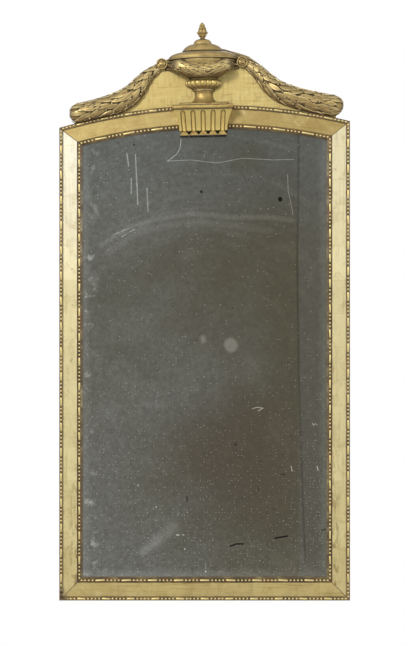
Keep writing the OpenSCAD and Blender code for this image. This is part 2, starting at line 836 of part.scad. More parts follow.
module urn_foot() {
    color(gilt)
        crest_axes()
            half_turned()
                polygon(concat([[0, slab_up + glue], [foot_r, slab_up + glue], [foot_r, slab_up + 2.4]],
                    curve([[foot_r - 1.5, slab_up + 3], [neck_r + 4, slab_up + 8], [neck_r + 0.5, slab_up + 13],
                        [neck_r, cup_up - 13]], 6),
                    curve([[neck_r, cup_up - 6], [neck_r, cup_up - 4], [neck_r + 2, cup_up - 2.5],
                        [neck_r + 6, cup_up - 1.5]], 3),
                    [[neck_r + 6, cup_up - glue], [0, cup_up - glue]]));
}

// ---------------------------------------------------------------- plinth, keystone and drops

slab_low = -1.7;
moulding_low = -11.7;
key_low = -58;
waist_up = -60;        // the waist would lie just under the drops' tops
slab_d = crest_front_d + 34;
moulding_d = crest_front_d + 42;
ovolo_r = 3.6;         // hollow under the moulding

// The keystone's own axes, a little to the left of the crest's
module key_axes() {
    crest_axes()
        translate([-key_off, 0, 0])
            children();
}

// The arched rail and its seats, moved forward by one glue line, to scribe what is planted on it
module rail_scribe() {
    translate([0, -glue, 0]) arch_ring();
}

// A block whose front outline and side outline are both drawn
module crossed(half) {
    intersection() {
        plate(0, 120) children(0);
        translate([-half, 0, 0])
            rotate([90, 0, 90])
                linear_extrude(2 * half) children(1);
    }
}

// A moulding's outline, mirrored for the front and one-sided for the side view
module ovolo_band(half, low, high, round_r) {
    difference() {
        translate([-half, low]) square([2 * half, high - low]);
        for (side = [-1, 1])
            translate([side * half, low])
                circle(round_r, $fn = small);
    }
}

module plinth() {
    color(gilt)
        difference() {
            crest_axes()
                crossed(moulding_half + key_off + 1) {
                    union() {
                        translate([-key_off, 0])
                            ovolo_band(moulding_half, moulding_low, slab_low, ovolo_r);
                        translate([-slab_half, slab_low - 1]) square([2 * slab_half, slab_up - slab_low + 1]);
                    }
                    mirror([1, 0]) union() {
                        difference() {
                            translate([crest_front_d + glue, moulding_low])
                                square([moulding_d - crest_front_d - glue, slab_low - moulding_low]);
                            translate([moulding_d, moulding_low]) circle(ovolo_r, $fn = small);
                        }
                        translate([crest_front_d + glue, slab_low - 1])
                            square([slab_d - crest_front_d - glue, slab_up - slab_low + 1]);
                    }
                }
            rail_scribe();
        }
}

// Half-width of the keystone's hollow side at distance u below the arch's outer edge
function key_half_at(u) = waist_half + hollow_r - sqrt(hollow_r * hollow_r - pow(-u - waist_up, 2));

module keystone() {
    spread = key_half_at(-moulding_low) - waist_half + 1;
    wide = waist_half + spread;
    color(gilt)
        difference() {
            key_axes()
                difference() {
                    crossed(wide) {
                        difference() {
                            translate([-wide, key_low]) square([2 * wide, moulding_low - key_low - glue]);
                            for (side = [-1, 1])
                                translate([side * (waist_half + hollow_r), waist_up]) circle(hollow_r, $fn = fine);
                        }
                        mirror([1, 0]) difference() {
                            translate([sight_seat_d - lip_drop, key_low])
                                square([waist_d + spread - sight_seat_d + lip_drop, moulding_low - key_low - glue]);
                            translate([waist_d + hollow_r, waist_up]) circle(hollow_r, $fn = fine);
                        }
                    }
                    for (i = [0 : flutes - 1]) let (k = i - (flutes - 1) / 2)
                        translate([k * flute_pitch, -waist_d - hollow_r, waist_up])
                            rotate([0, k * flute_splay, 0])
                                flute();
                }
            rail_scribe();
        }
}

// A flute follows the hollow front and runs out below; its rounded top stops under the moulding
module flute() {
    top = asin((moulding_low - 3.5 - flute_w / 2 - waist_up) / hollow_r);
    below = 8;
    rotate([90, 0, 90])
        rotate([0, 0, -below])
            rotate_extrude(angle = below + top, $fn = fine)
                translate([hollow_r, 0]) circle(flute_w / 2, $fn = small);
    translate([0, hollow_r * cos(top), hollow_r * sin(top)]) sphere(flute_w / 2 + 0.05, $fn = small);
}

// Drops under the flutes: tapered blocks that widen downwards and stand on one thin strip
module guttae() {
    top_half = 0.17 * flute_pitch;
    low_half = 0.43 * flute_pitch;
    strip = 1.5;
    row_half = (flutes - 1) / 2 * flute_pitch + low_half + 1;
    back_d = flat_d + 1;
    color(gilt)
        key_axes()
            crossed(row_half + 1) {
                translate([0, key_low - glue])
                    polygon(concat([[-row_half, -drop_l], [-row_half, strip - drop_l]],
                        [for (i = [0 : flutes - 1]) let (c = (i - (flutes - 1) / 2) * flute_pitch)
                            each [[c - low_half, strip - drop_l], [c - top_half, 0],
                                [c + top_half, 0], [c + low_half, strip - drop_l]]],
                        [[row_half, strip - drop_l], [row_half, -drop_l]]));
                mirror([1, 0])
                    translate([0, key_low - glue])
                        polygon([[back_d, 0], [waist_d - 4, 0], [waist_d + 1, strip - drop_l],
                            [waist_d + 1, -drop_l], [back_d, -drop_l]]);
            }
}

// ---------------------------------------------------------------- hanging irons

eye_z = crown_h + eye_up;
iron_holes = [14, 28];
iron_bottom = 36;
function rail_top(side) = arc_z(side * iron_x, arch_r);

module iron_plate(side, extra, v0) {
    low = rail_top(side) - min(iron_bottom, back_w - 2);
    translate([side * iron_x, 0, 0])
        plate(v0, wall_gap + iron_t + extra) {
            translate([-iron_w / 2 - extra, low - extra]) square([iron_w + 2 * extra, eye_z - low + extra]);
            translate([0, eye_z]) circle(iron_w / 2 + extra + 1, $fn = mid);
        }
}

module iron_screws(p) {
    for (side = [-1, 1])
        for (h = iron_holes)
            screw(side * iron_x, rail_top(side) - h, wall_gap, wall_gap + iron_t + 19, p);
}

module iron_screw_holes() {
    iron_screws(0.1);
}

module hanger(side) {
    color(iron)
        difference() {
            iron_plate(side, 0, wall_gap);
            iron_screw_holes();
            peg(side * iron_x, eye_z, -1, wall_gap + iron_t + 1, eye_r);
        }
}

module left_hanger() { hanger(-1); }
module right_hanger() { hanger(1); }

module hanger_screws() {
    color(iron) iron_screws(0);
}

// ---------------------------------------------------------------- assembly

left_stile();
right_stile();
bottom_rail();
top_rail();
corner_keys();
outer_bead_left();
outer_bead_right();
outer_bead_bottom();
outer_bead_top();
sight_bead_left();
sight_bead_right();
sight_bead_bottom();
sight_bead_top();
mirror_glass();
tin_foil();
glazing_blocks();
backboard_lower();
backboard_middle();
backboard_upper();
backboard_nails();
crest_board();
crest_battens();
batten_screws();
left_garland();
right_garland();
centre_swag();
left_ring();
right_ring();
finial();
urn_lid();
urn_bowl();
gadroon_cup();
urn_foot();
plinth();
keystone();
guttae();
left_hanger();
right_hanger();
hanger_screws();
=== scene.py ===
"""Pier mirror: an arched giltwood frame, an old plate and a carved crest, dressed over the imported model."""

import logging
import math
import random
from dataclasses import dataclass, field
from enum import Enum
from functools import cached_property
from typing import Callable

import bmesh
import bpy
from bmesh.types import BMesh
from bpy.types import ID, Material, Mesh, Node, Object, World
from bpy.types import NodeSocket as Socket
from mathutils import Matrix, Vector
from mathutils.bvhtree import BVHTree


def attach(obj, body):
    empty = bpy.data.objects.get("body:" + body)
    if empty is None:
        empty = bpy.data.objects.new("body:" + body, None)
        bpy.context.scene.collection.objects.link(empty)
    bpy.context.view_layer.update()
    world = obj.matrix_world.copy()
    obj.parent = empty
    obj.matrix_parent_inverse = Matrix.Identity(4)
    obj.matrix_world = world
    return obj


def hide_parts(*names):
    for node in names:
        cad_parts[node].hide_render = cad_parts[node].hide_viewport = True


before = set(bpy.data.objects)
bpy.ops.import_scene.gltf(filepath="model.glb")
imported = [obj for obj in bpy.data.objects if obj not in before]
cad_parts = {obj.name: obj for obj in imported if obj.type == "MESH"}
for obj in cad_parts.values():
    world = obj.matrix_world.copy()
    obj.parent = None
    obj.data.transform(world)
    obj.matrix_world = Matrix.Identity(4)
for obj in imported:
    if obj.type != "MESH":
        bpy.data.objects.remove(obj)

LOG = logging.getLogger("pier_mirror")
ROOT = "root"
CARVED_SLOT = "carved_gilding"
MM = 0.001
Colour = tuple[float, float, float]
Place = tuple[float, float, float]
Number = float | Socket
Tint = Colour | Socket
Outline = list[tuple[float, float]]
Axes = Callable[[float], Matrix]
ALONG_GRAIN = (6.0, 60.0, 60.0)
UP_GRAIN = (60.0, 60.0, 6.0)
SMALL_GRAIN = (30.0, 60.0, 30.0)


def smooth(x: float) -> float:
    """Eases x from 0 to 1, held outside that range."""
    x = max(0.0, min(1.0, x))
    return x * x * (3 - 2 * x)


def held(angle: float, edge: float) -> float:
    """An angle across a half-round body, held off both its edges."""
    return max(edge, min(math.pi - edge, angle))


def bezier(points: list[Vector], t: float) -> Vector:
    """A point on a cubic curve.

    Args:
        points: The curve's four control points.
        t: Share of the way along it.

    Returns:
        The point at t.
    """
    s = 1 - t
    return s**3 * points[0] + 3 * s * s * t * points[1] + 3 * s * t * t * points[2] + t**3 * points[3]


@dataclass(frozen=True)
class Datum:
    """The lines that every sub-assembly is set out from, in metres.

    Attributes:
        width, crown: The frame's width, and the height of the arch's crown.
        arch_r: Radius of the arch's outer edge.
        lean: How far the crest's middle line leans to the right.
        member: Width of a frame member.
        crest_front: How far the crest board's front is off the wall.
        glue: Gap that keeps a carving off the board.
    """

    width: float = 0.660
    crown: float = 1.124
    arch_r: float = 1.288
    lean: float = math.radians(1.35)
    member: float = 0.0525
    crest_front: float = 0.0298
    glue: float = 0.0001

    @property
    def arch_centre(self) -> Vector:
        """Centre of the arch."""
        return Vector(((self.arch_r - self.member) * math.sin(self.lean), 0, self.crown - self.arch_r))

    @property
    def crest(self) -> Matrix:
        """The crest's axes: origin at the arch's crown, z up the leaning middle line."""
        turned = Matrix.Translation(self.arch_centre) @ Matrix.Rotation(-self.lean, 4, "Y")
        return turned @ Matrix.Translation((0, 0, self.arch_r))

    def arch_z(self, x: float, r: float) -> float:
        """Height at x of the arc of radius r about the arch's centre."""
        centre = self.arch_centre
        return centre.z + math.sqrt(r * r - (x - centre.x) ** 2)

    def on_arch(self, a: float, r: float, depth: float) -> Matrix:
        """Axes on an arc about the arch's centre, z along it and -y forwards.

        Args:
            a: Angle off the crown.
            r: The arc's radius.
            depth: How far forwards it lies.

        Returns:
            The axes.
        """
        centre = self.arch_centre
        point = Vector((centre.x + r * math.sin(a), -depth, centre.z + r * math.cos(a)))
        return Matrix.Translation(point) @ Matrix.Rotation(math.pi / 2 + a, 4, "Y")

    def corner(self, side: int, u: float) -> Vector:
        """Upper corner of the outline at distance u inside the frame's edge."""
        x = side * (self.width / 2 - u)
        return Vector((x, 0, self.arch_z(x, self.arch_r - u)))


DATUM = Datum()


# ---------------------------------------------------------------- finishes


class Tree:
    """The nodes of a material or a world, made by small calls that hand back sockets."""

    def __init__(self, name: str, world: World | None = None) -> None:
        """Starts an empty tree.

        Args:
            name: The new material's name.
            world: The world that the tree belongs to, where it isn't a material's.
        """
        self.material = world or bpy.data.materials.new(name)
        self.material.use_nodes = True
        self.nodes = self.material.node_tree.nodes
        self.links = self.material.node_tree.links
        self.nodes.clear()

    @cached_property
    def place(self) -> Socket:
        """The object's own coordinates."""
        return self.add("ShaderNodeTexCoord").outputs["Object"]

    def add(self, kind: str, inputs: dict | None = None, **settings: object) -> Node:
        """Adds a node.

        Args:
            kind: The node's type.
            inputs: Values or sockets by input name or number.
            **settings: Properties of the node.

        Returns:
            The new node.
        """
        node = self.nodes.new(kind)
        for key, value in settings.items():
            setattr(node, key, value)
        for key, value in (inputs or {}).items():
            socket = node.inputs[key]
            if isinstance(value, Socket):
                self.links.new(value, socket)
            elif isinstance(value, tuple) and socket.type == "RGBA":
                socket.default_value = (*value, 1.0)
            else:
                socket.default_value = value
        return node

    def math(self, operation: str, a: Number, b: Number = 0.0) -> Socket:
        """The result of a Math node on a and b."""
        return self.add("ShaderNodeMath", {0: a, 1: b}, operation=operation).outputs[0]

    def chain(self, operation: str, first: Number, *others: Number) -> Socket:
        """Takes one operation through several values, two at a time.

        Args:
            operation: The Math node's operation.
            first: The first value.
            *others: The values that follow it.

        Returns:
            The last result.
        """
        found = first
        for other in others:
            found = self.math(operation, found, other)
        return found

    def times(self, *values: Number) -> Socket:
        """The product of the values."""
        return self.chain("MULTIPLY", *values)

    def plus(self, *values: Number) -> Socket:
        """The sum of the values."""
        return self.chain("ADD", *values)

    def most(self, *values: Number) -> Socket:
        """The largest of the values."""
        return self.chain("MAXIMUM", *values)

    def less(self, a: Number, b: Number) -> Socket:
        """a less b."""
        return self.math("SUBTRACT", a, b)

    def size(self, value: Number) -> Socket:
        """A value without its sign."""
        return self.math("ABSOLUTE", value)

    def rest(self, share: Number) -> Socket:
        """What a share leaves of 1."""
        return self.less(1.0, share)

    def measure(self, operation: str, a: Socket, b: Place = (0.0, 0.0, 0.0)) -> Socket:
        """The number that a Vector Math node makes of a and b, such as a distance."""
        return self.add("ShaderNodeVectorMath", {0: a, 1: b}, operation=operation).outputs["Value"]

    def shifted(self, at: Socket, by: Place) -> Socket:
        """Coordinates less a place."""
        return self.add("ShaderNodeVectorMath", {0: at, 1: by}, operation="SUBTRACT").outputs[0]

    def cells(self, flat: Socket, scale: float) -> tuple[Socket, list[Socket]]:
        """Cells scattered over a plane.

        Args:
            flat: Coordinates on the plane.
            scale: Cells in a metre.

        Returns:
            Distance from the middle of a cell, and the cell's random numbers.
        """
        found = self.add("ShaderNodeTexVoronoi", {"Vector": flat, "Scale": scale}, voronoi_dimensions="2D")
        return found.outputs["Distance"], self.split(found.outputs["Color"])

    def length(self, x: Number, y: Number) -> Socket:
        """Length of the vector (x, y)."""
        return self.measure("LENGTH", self.join(x, y))

    def painted(self, name: str) -> Socket:
        """A value that was painted on the shape's points."""
        return self.add("ShaderNodeAttribute", attribute_name=name).outputs["Fac"]

    def step(self, value: Number, low: float, high: float,
             start: float = 0.0, end: float = 1.0) -> Socket:
        """Eases from start to end as value goes from low to high."""
        limits = {"Value": value, "From Min": low, "From Max": high, "To Min": start, "To Max": end}
        return self.add("ShaderNodeMapRange", limits, interpolation_type="SMOOTHSTEP").outputs[0]

    def held(self, value: Socket) -> Socket:
        """A value held between 0 and 1."""
        return self.add("ShaderNodeClamp", {"Value": value}).outputs[0]

    def mix(self, share: Number, a: Tint, b: Tint) -> Socket:
        """Colour a turned into b by share."""
        return self.add("ShaderNodeMix", {0: share, 6: a, 7: b}, data_type="RGBA").outputs[2]

    def noise(self, scale: float, detail: float = 3.0, rough: float = 0.55,
              at: Socket | None = None, bend: float = 0.0) -> Socket:
        """Cloudy noise around 0.5.

        Args:
            scale: Clouds in a metre.
            detail: Octaves.
            rough: Share of the finer octaves.
            at: Coordinates, the object's own when left out.
            bend: Distortion.

        Returns:
            The noise's value.
        """
        ins = {"Vector": at or self.place, "Scale": scale, "Detail": detail, "Roughness": rough,
               "Distortion": bend}
        return self.add("ShaderNodeTexNoise", ins).outputs[0]

    def split(self, vector: Socket) -> list[Socket]:
        """The three numbers of a vector."""
        return list(self.add("ShaderNodeSeparateXYZ", {0: vector}).outputs)

    def join(self, x: Number, y: Number, z: Number = 0.0) -> Socket:
        """A vector of three numbers."""
        return self.add("ShaderNodeCombineXYZ", {0: x, 1: y, 2: z}).outputs[0]

    def scaled(self, x: float, y: float, z: float, at: Socket | None = None) -> Socket:
        """Coordinates stretched by a factor on each axis."""
        ins = {"Vector": at or self.place, "Scale": (x, y, z)}
        return self.add("ShaderNodeMapping", ins).outputs[0]

    def crest_place(self) -> Socket:
        """Coordinates on the crest's own axes."""
        ins = {"Vector": self.place, "Location": tuple(DATUM.crest.translation),
               "Rotation": (0.0, -DATUM.lean, 0.0)}
        return self.add("ShaderNodeMapping", ins, vector_type="TEXTURE").outputs[0]

    def worn_corner(self) -> Socket:
        """Share of dark chips at the lower left corner of the frame."""
        x, _, z = self.split(self.place)
        away = self.length(self.plus(x, DATUM.width / 2), self.times(z, 0.55))
        return self.times(self.step(away, 0.010, 0.024, 0.92, 0.0), self.step(self.noise(120.0), 0.36, 0.50))

    def bump(self, height: Socket, depth: float, strength: float) -> Socket:
        """A normal from a height map of the given depth in metres."""
        ins = {"Height": height, "Distance": depth, "Strength": strength}
        return self.add("ShaderNodeBump", ins).outputs[0]

    def finish(self, **sockets: object) -> Material:
        """Ends the tree in a Principled shader.

        Args:
            **sockets: Its inputs, with _ for a space.

        Returns:
            The finished material.
        """
        ins = {key.replace("_", " "): value for key, value in sockets.items()}
        shader = self.add("ShaderNodeBsdfPrincipled", ins)
        self.add("ShaderNodeOutputMaterial", {"Surface": shader.outputs[0]})
        return self.material


class Run(Enum):
    """Which way a frame member runs."""

    UPRIGHT = "upright"
    LEVEL = "level"
    ARCH = "arch"

    def lines(self, tree: Tree) -> tuple[Socket, Socket]:
        """Distance inwards from the outer edge, and distance along the member.

        Args:
            tree: The material that needs them.

        Returns:
            Both distances in metres.
        """
        x, _, z = tree.split(tree.place)
        if self is Run.LEVEL:
            return z, x
        if self is Run.UPRIGHT:
            return tree.less(DATUM.width / 2, tree.size(x)), z
        dx = tree.less(x, DATUM.arch_centre.x)
        dz = tree.less(z, DATUM.arch_centre.z)
        angle = tree.math("ARCTAN2", dx, dz)
        return tree.less(DATUM.arch_r, tree.length(dx, dz)), tree.times(angle, DATUM.arch_r)


@dataclass(frozen=True)
class Gold:
    """The colours of old water gilding.

    Attributes:
        leaf, pale: Sound leaf, and leaf that is rubbed thin, also the painted highlight on the carving's
            ridges.
        bright, white: Painted reflection on the uprights' burnished gold, and its whitest part at the top
            left.
        deep, bole: Toned gold, and the red clay under the leaf.
        grime, dust: Dirt and painted shade in the hollows, and dust on what no longer shines, also painted
            shade on the carving's sides.
    """

    leaf: Colour = (0.60, 0.455, 0.150)
    pale: Colour = (0.78, 0.66, 0.325)
    bright: Colour = (0.96, 0.86, 0.50)
    white: Colour = (0.82, 0.80, 0.67)
    deep: Colour = (0.33, 0.222, 0.070)
    bole: Colour = (0.26, 0.105, 0.040)
    grime_and_shade: Colour = (0.050, 0.030, 0.014)
    dust_and_shade: Colour = (0.190, 0.147, 0.086)


@dataclass(frozen=True)
class OldPine:
    """Unpainted pine, browned by age.

    Attributes:
        grain: Clouds in a metre on each axis, few of them along the grain.
    """

    name: str = "old_pine"
    grain: tuple[float, float, float] = ALONG_GRAIN
    pale: Colour = (0.30, 0.175, 0.075)
    dark: Colour = (0.115, 0.058, 0.024)

    def colour(self, tree: Tree) -> tuple[Socket, Socket]:
        """The wood's colour and its height for the bump.

        Args:
            tree: The material to add it to.

        Returns:
            Colour socket and height socket.
        """
        along = tree.scaled(*self.grain)
        rings = tree.noise(1.0, 3.0, 0.6, along, 0.6)
        bands = tree.math("FRACT", tree.times(rings, 7.0))
        fibre = tree.noise(9.0, 4.0, 0.7, along)
        stain = tree.noise(7.0, 4.0, 0.6)
        tone = tree.plus(tree.times(bands, 0.35), tree.times(fibre, 0.65))
        wood = tree.mix(tree.step(tone, 0.2, 0.8), self.dark, self.pale)
        wood = tree.mix(tree.step(stain, 0.45, 0.75, 0.0, 0.6), wood, self.dark)
        return wood, tree.plus(bands, fibre)

    def build(self) -> Material:
        """The finished material."""
        tree = Tree(self.name)
        wood, height = self.colour(tree)
        return tree.finish(Base_Color=wood, Roughness=0.78, Specular_IOR_Level=0.25,
                           Normal=tree.bump(height, 0.0004, 0.5))


@dataclass(frozen=True)
class BurnishedLeaf:
    """Burnished gold on a flat frame member, laid in square leaves whose laps show.

    Attributes:
        run: Which way the member runs.
        lap: Distance from lap to lap.
        offset: Where the first lap falls.
        tone: Share of the deeper gold all over.
        fall: How much deeper the gold is at the foot of the frame, painted shade.
        shine: Share of the pale gold all over.
        lip: Where the dark edge along the glass begins.
        patches: How strongly the worn patches show.
        steps: Where the flat's two edges are.
    """

    name: str
    run: Run
    lap: float = 0.076
    offset: float = 0.0
    tone: float = 0.0
    fall: float = 0.26
    shine: float = 0.3
    lip: float = 0.0498
    patches: float = 0.4
    steps: tuple[float, float] = (0.0085, 0.0405)
    gold: Gold = Gold()

    @property
    def upright(self) -> bool:
        """Whether the member stands."""
        return self.run is Run.UPRIGHT

    def mitre(self, tree: Tree, outer: Vector, inner: Vector) -> Socket:
        """Dirt on one mitre.

        Args:
            tree: The material.
            outer: The mitre's end on the frame's edge.
            inner: Its end on the edge along the glass.

        Returns:
            Share of dirt.
        """
        x, _, z = tree.split(tree.place)
        along = (inner - outer).normalized()
        away = tree.plus(tree.times(x, -along.z), tree.times(z, along.x))
        off = tree.size(tree.less(away, -along.z * outer.x + along.x * outer.z))
        near = tree.step(tree.size(tree.less(z, outer.z)), 0.06, 0.07, 1.0, 0.0)
        return tree.times(tree.step(off, 0.0004, 0.0013, 0.85, 0.0), near)

    def mitres(self, tree: Tree) -> Socket:
        """Dirt on the mitres at the four corners.

        Args:
            tree: The material.

        Returns:
            Share of dirt.
        """
        lines = []
        for side in (-1, 1):
            foot = Vector((side * DATUM.width / 2, 0, 0))
            lines.append(self.mitre(tree, foot, foot + Vector((-side * DATUM.member, 0, DATUM.member))))
            lines.append(self.mitre(tree, DATUM.corner(side, 0), DATUM.corner(side, DATUM.member)))
        return tree.most(*lines)

    def laps(self, tree: Tree, u: Socket, t: Socket) -> tuple[Socket, Socket]:
        """The laps between the leaves of gold.

        Args:
            tree: The material.
            u: Distance inwards from the outer edge.
            t: Distance along the member.

        Returns:
            Share of the lap, and a number from 0 to 1 for each leaf.
        """
        leaf_no = tree.plus(tree.math("DIVIDE", t, self.lap), self.offset)
        cell = tree.join(tree.math("FLOOR", leaf_no), 0.0)
        tone = tree.add("ShaderNodeTexWhiteNoise", {0: cell}, noise_dimensions="3D").outputs[0]
        wave = tree.times(tree.noise(60.0, 2.0), 0.02)
        edge = tree.size(tree.less(tree.math("FRACT", tree.plus(leaf_no, wave)), 0.5))
        flat = tree.times(tree.step(u, 0.009, 0.010), tree.step(u, 0.0395, 0.0400, 1.0, 0.0))
        return tree.times(tree.step(edge, 0.488, 0.497), flat), tone

    def shade_and_sheen(self, tree: Tree, colour: Socket) -> Socket:
        """Deeper gold at the foot and to the right, painted shade, and on the uprights painted reflection,
        paler above and to the left.

        Args:
            tree: The material.
            colour: The gold's colour so far.

        Returns:
            The new colour.
        """
        gold = self.gold
        across, _, z = tree.split(tree.place)
        up = tree.plus(z, tree.times(tree.noise(6.0), 0.25))
        # painted shade: deeper gold towards the foot and to the right
        low = tree.step(up, 0.20, 0.85, self.tone + self.fall, self.tone)
        low = tree.plus(low, tree.step(across, -0.30, 0.30, 0.0, 0.06))
        colour = tree.mix(low, colour, gold.deep)
        if not self.upright:
            return colour
        # painted reflection: the uprights paler upwards and to the left, near white at the top left
        worn = tree.times(tree.step(up, 0.0, 1.00, 0.10, 1.0), tree.step(across, 0.15, -0.25, 0.95, 1.0))
        white_sheen_share = tree.times(tree.step(up, 0.75, 1.20), tree.step(across, 0.15, -0.25, 0.35, 1.0))
        return tree.mix(worn, colour, tree.mix(white_sheen_share, gold.bright, gold.white))

    def worn_leaf(self, tree: Tree, u: Socket, tone: Socket, streak: Socket) -> Socket:
        """The gold with its streaks and patches, before laps and dirt.

        Args:
            tree: The material.
            u: Distance inwards from the outer edge.
            tone: A number from 0 to 1 for each leaf.
            streak: Streaks along the member.

        Returns:
            Its colour.
        """
        gold = self.gold
        shone = tree.step(tree.noise(14.0, 5.0, 0.6), 0.25, 0.8, self.shine - 0.2, self.shine + 0.2)
        colour = self.shade_and_sheen(tree, tree.mix(shone, gold.leaf, gold.pale))
        colour = tree.mix(tree.step(streak, 0.42, 0.85, 0.0, max(0.0, 0.5 - self.tone)), colour, gold.pale)
        grainy = 0.55 if self.upright else 0.85
        colour = tree.mix(tree.step(streak, 0.5, 0.2, 0.0, grainy), colour, gold.deep)
        colour = tree.mix(tree.step(tone, 0.0, 1.0, 0.0, 0.22), colour, gold.deep)
        patch = tree.noise(46.0, 5.0, 0.65, None, 0.5)
        colour = tree.mix(tree.step(patch, 0.46, 0.72, 0.0, self.patches), colour, gold.deep)
        colour = tree.mix(tree.step(patch, 0.44, 0.28, 0.0, self.patches), colour, gold.pale)
        if not self.upright:
            return colour
        z = tree.split(tree.place)[2]
        smudge = tree.noise(1.0, 5.0, 0.7, tree.scaled(90.0, 1.0, 34.0))
        soil = tree.times(tree.step(u, 0.018, 0.036), tree.step(smudge, 0.48, 0.60))
        soil = tree.times(soil, tree.step(z, 0.45, 0.08, 0.10, 0.75))
        return tree.mix(soil, colour, tree.mix(0.35, gold.deep, gold.grime_and_shade))

    def dirt_and_shade(self, tree: Tree, u: Socket) -> Socket:
        """Dirt with painted shade in the seats of the strings, dark lines on the steps beside them, and dirt
        on the mitres.

        Args:
            tree: The material.
            u: Distance inwards from the outer edge.

        Returns:
            Share of dirt and painted shade.
        """
        first, last = self.steps
        fade = 0.0004
        on_flat = tree.times(tree.step(u, first - fade, first + fade),
                             tree.step(u, last - fade, last + fade, 1.0, 0.0))
        # dark seats under the strings: dirt, with painted shade between the beads and along the glass
        dirt_and_shade = tree.times(tree.rest(on_flat), tree.step(u, 0.010, 0.012, 0.86, 0.95))
        if self.upright:
            dirt_and_shade = tree.times(dirt_and_shade, tree.step(u, self.lip - 0.0002, self.lip + 0.0003, 1.0, 0.96))
        for line in self.steps:
            dirt_and_shade = tree.most(dirt_and_shade, tree.step(tree.size(tree.less(u, line)), 0.0002, 0.0010, 0.95, 0.0))
        dirt_and_shade = tree.times(dirt_and_shade, tree.step(tree.noise(45.0, 4.0), 0.25, 0.55, 0.7, 1.0))
        return tree.most(dirt_and_shade, self.mitres(tree), tree.worn_corner())

    def build(self) -> Material:
        """The finished material."""
        tree, gold = Tree(self.name), self.gold
        u, t = self.run.lines(tree)
        streak = tree.noise(2.0, 4.0, 0.65, tree.join(tree.times(t, 4.0), tree.times(u, 110.0)))
        fine = tree.noise(330.0, 3.0, 0.6)
        dirt_and_shade = self.dirt_and_shade(tree, u)
        lap, tone = self.laps(tree, u, t)
        colour = self.worn_leaf(tree, u, tone, streak)
        colour = tree.mix(tree.times(lap, 0.18 if self.upright else 0.35), colour, gold.deep)
        rub = tree.most(tree.step(u, 0.0012, 0.0002), tree.step(tree.noise(28.0, 5.0, 0.7), 0.66, 0.74))
        colour = tree.mix(tree.times(rub, 0.45), colour, gold.bole)
        colour = tree.mix(tree.step(tree.noise(95.0, 2.0, 0.5), 0.70, 0.78, 0.0, 0.6), colour, gold.deep)
        dark = tree.mix(tree.step(tree.noise(33.0, 4.0), 0.42, 0.62), gold.grime_and_shade, gold.bole)
        # painted shade: the edge along the glass darkest
        dark = tree.mix(tree.step(u, self.lip - 0.0003, self.lip + 0.0003, 0.6, 0.95), dark, gold.grime_and_shade)
        colour = tree.mix(dirt_and_shade, colour, dark)
        y = tree.split(tree.place)[1]
        colour = tree.mix(tree.step(y, -0.0300, -0.0150, 0.0, 0.5), colour, gold.deep)
        behind = tree.step(y, -0.0016, -0.0010)
        wood, grain = OldPine(grain=UP_GRAIN if self.upright else ALONG_GRAIN).colour(tree)
        colour = tree.mix(behind, colour, wood)
        clean = tree.times(tree.rest(dirt_and_shade), tree.rest(behind))
        rough = tree.plus(tree.times(clean, -0.36), 0.72, tree.times(fine, 0.10))
        height = tree.plus(tree.times(streak, 0.6), tree.times(fine, 0.4), tree.times(lap, -0.4))
        height = tree.plus(height, tree.times(grain, behind))
        return tree.finish(Base_Color=colour, Metallic=tree.times(clean, 0.66), Roughness=rough,
                           Normal=tree.bump(height, 0.00022, 0.6))


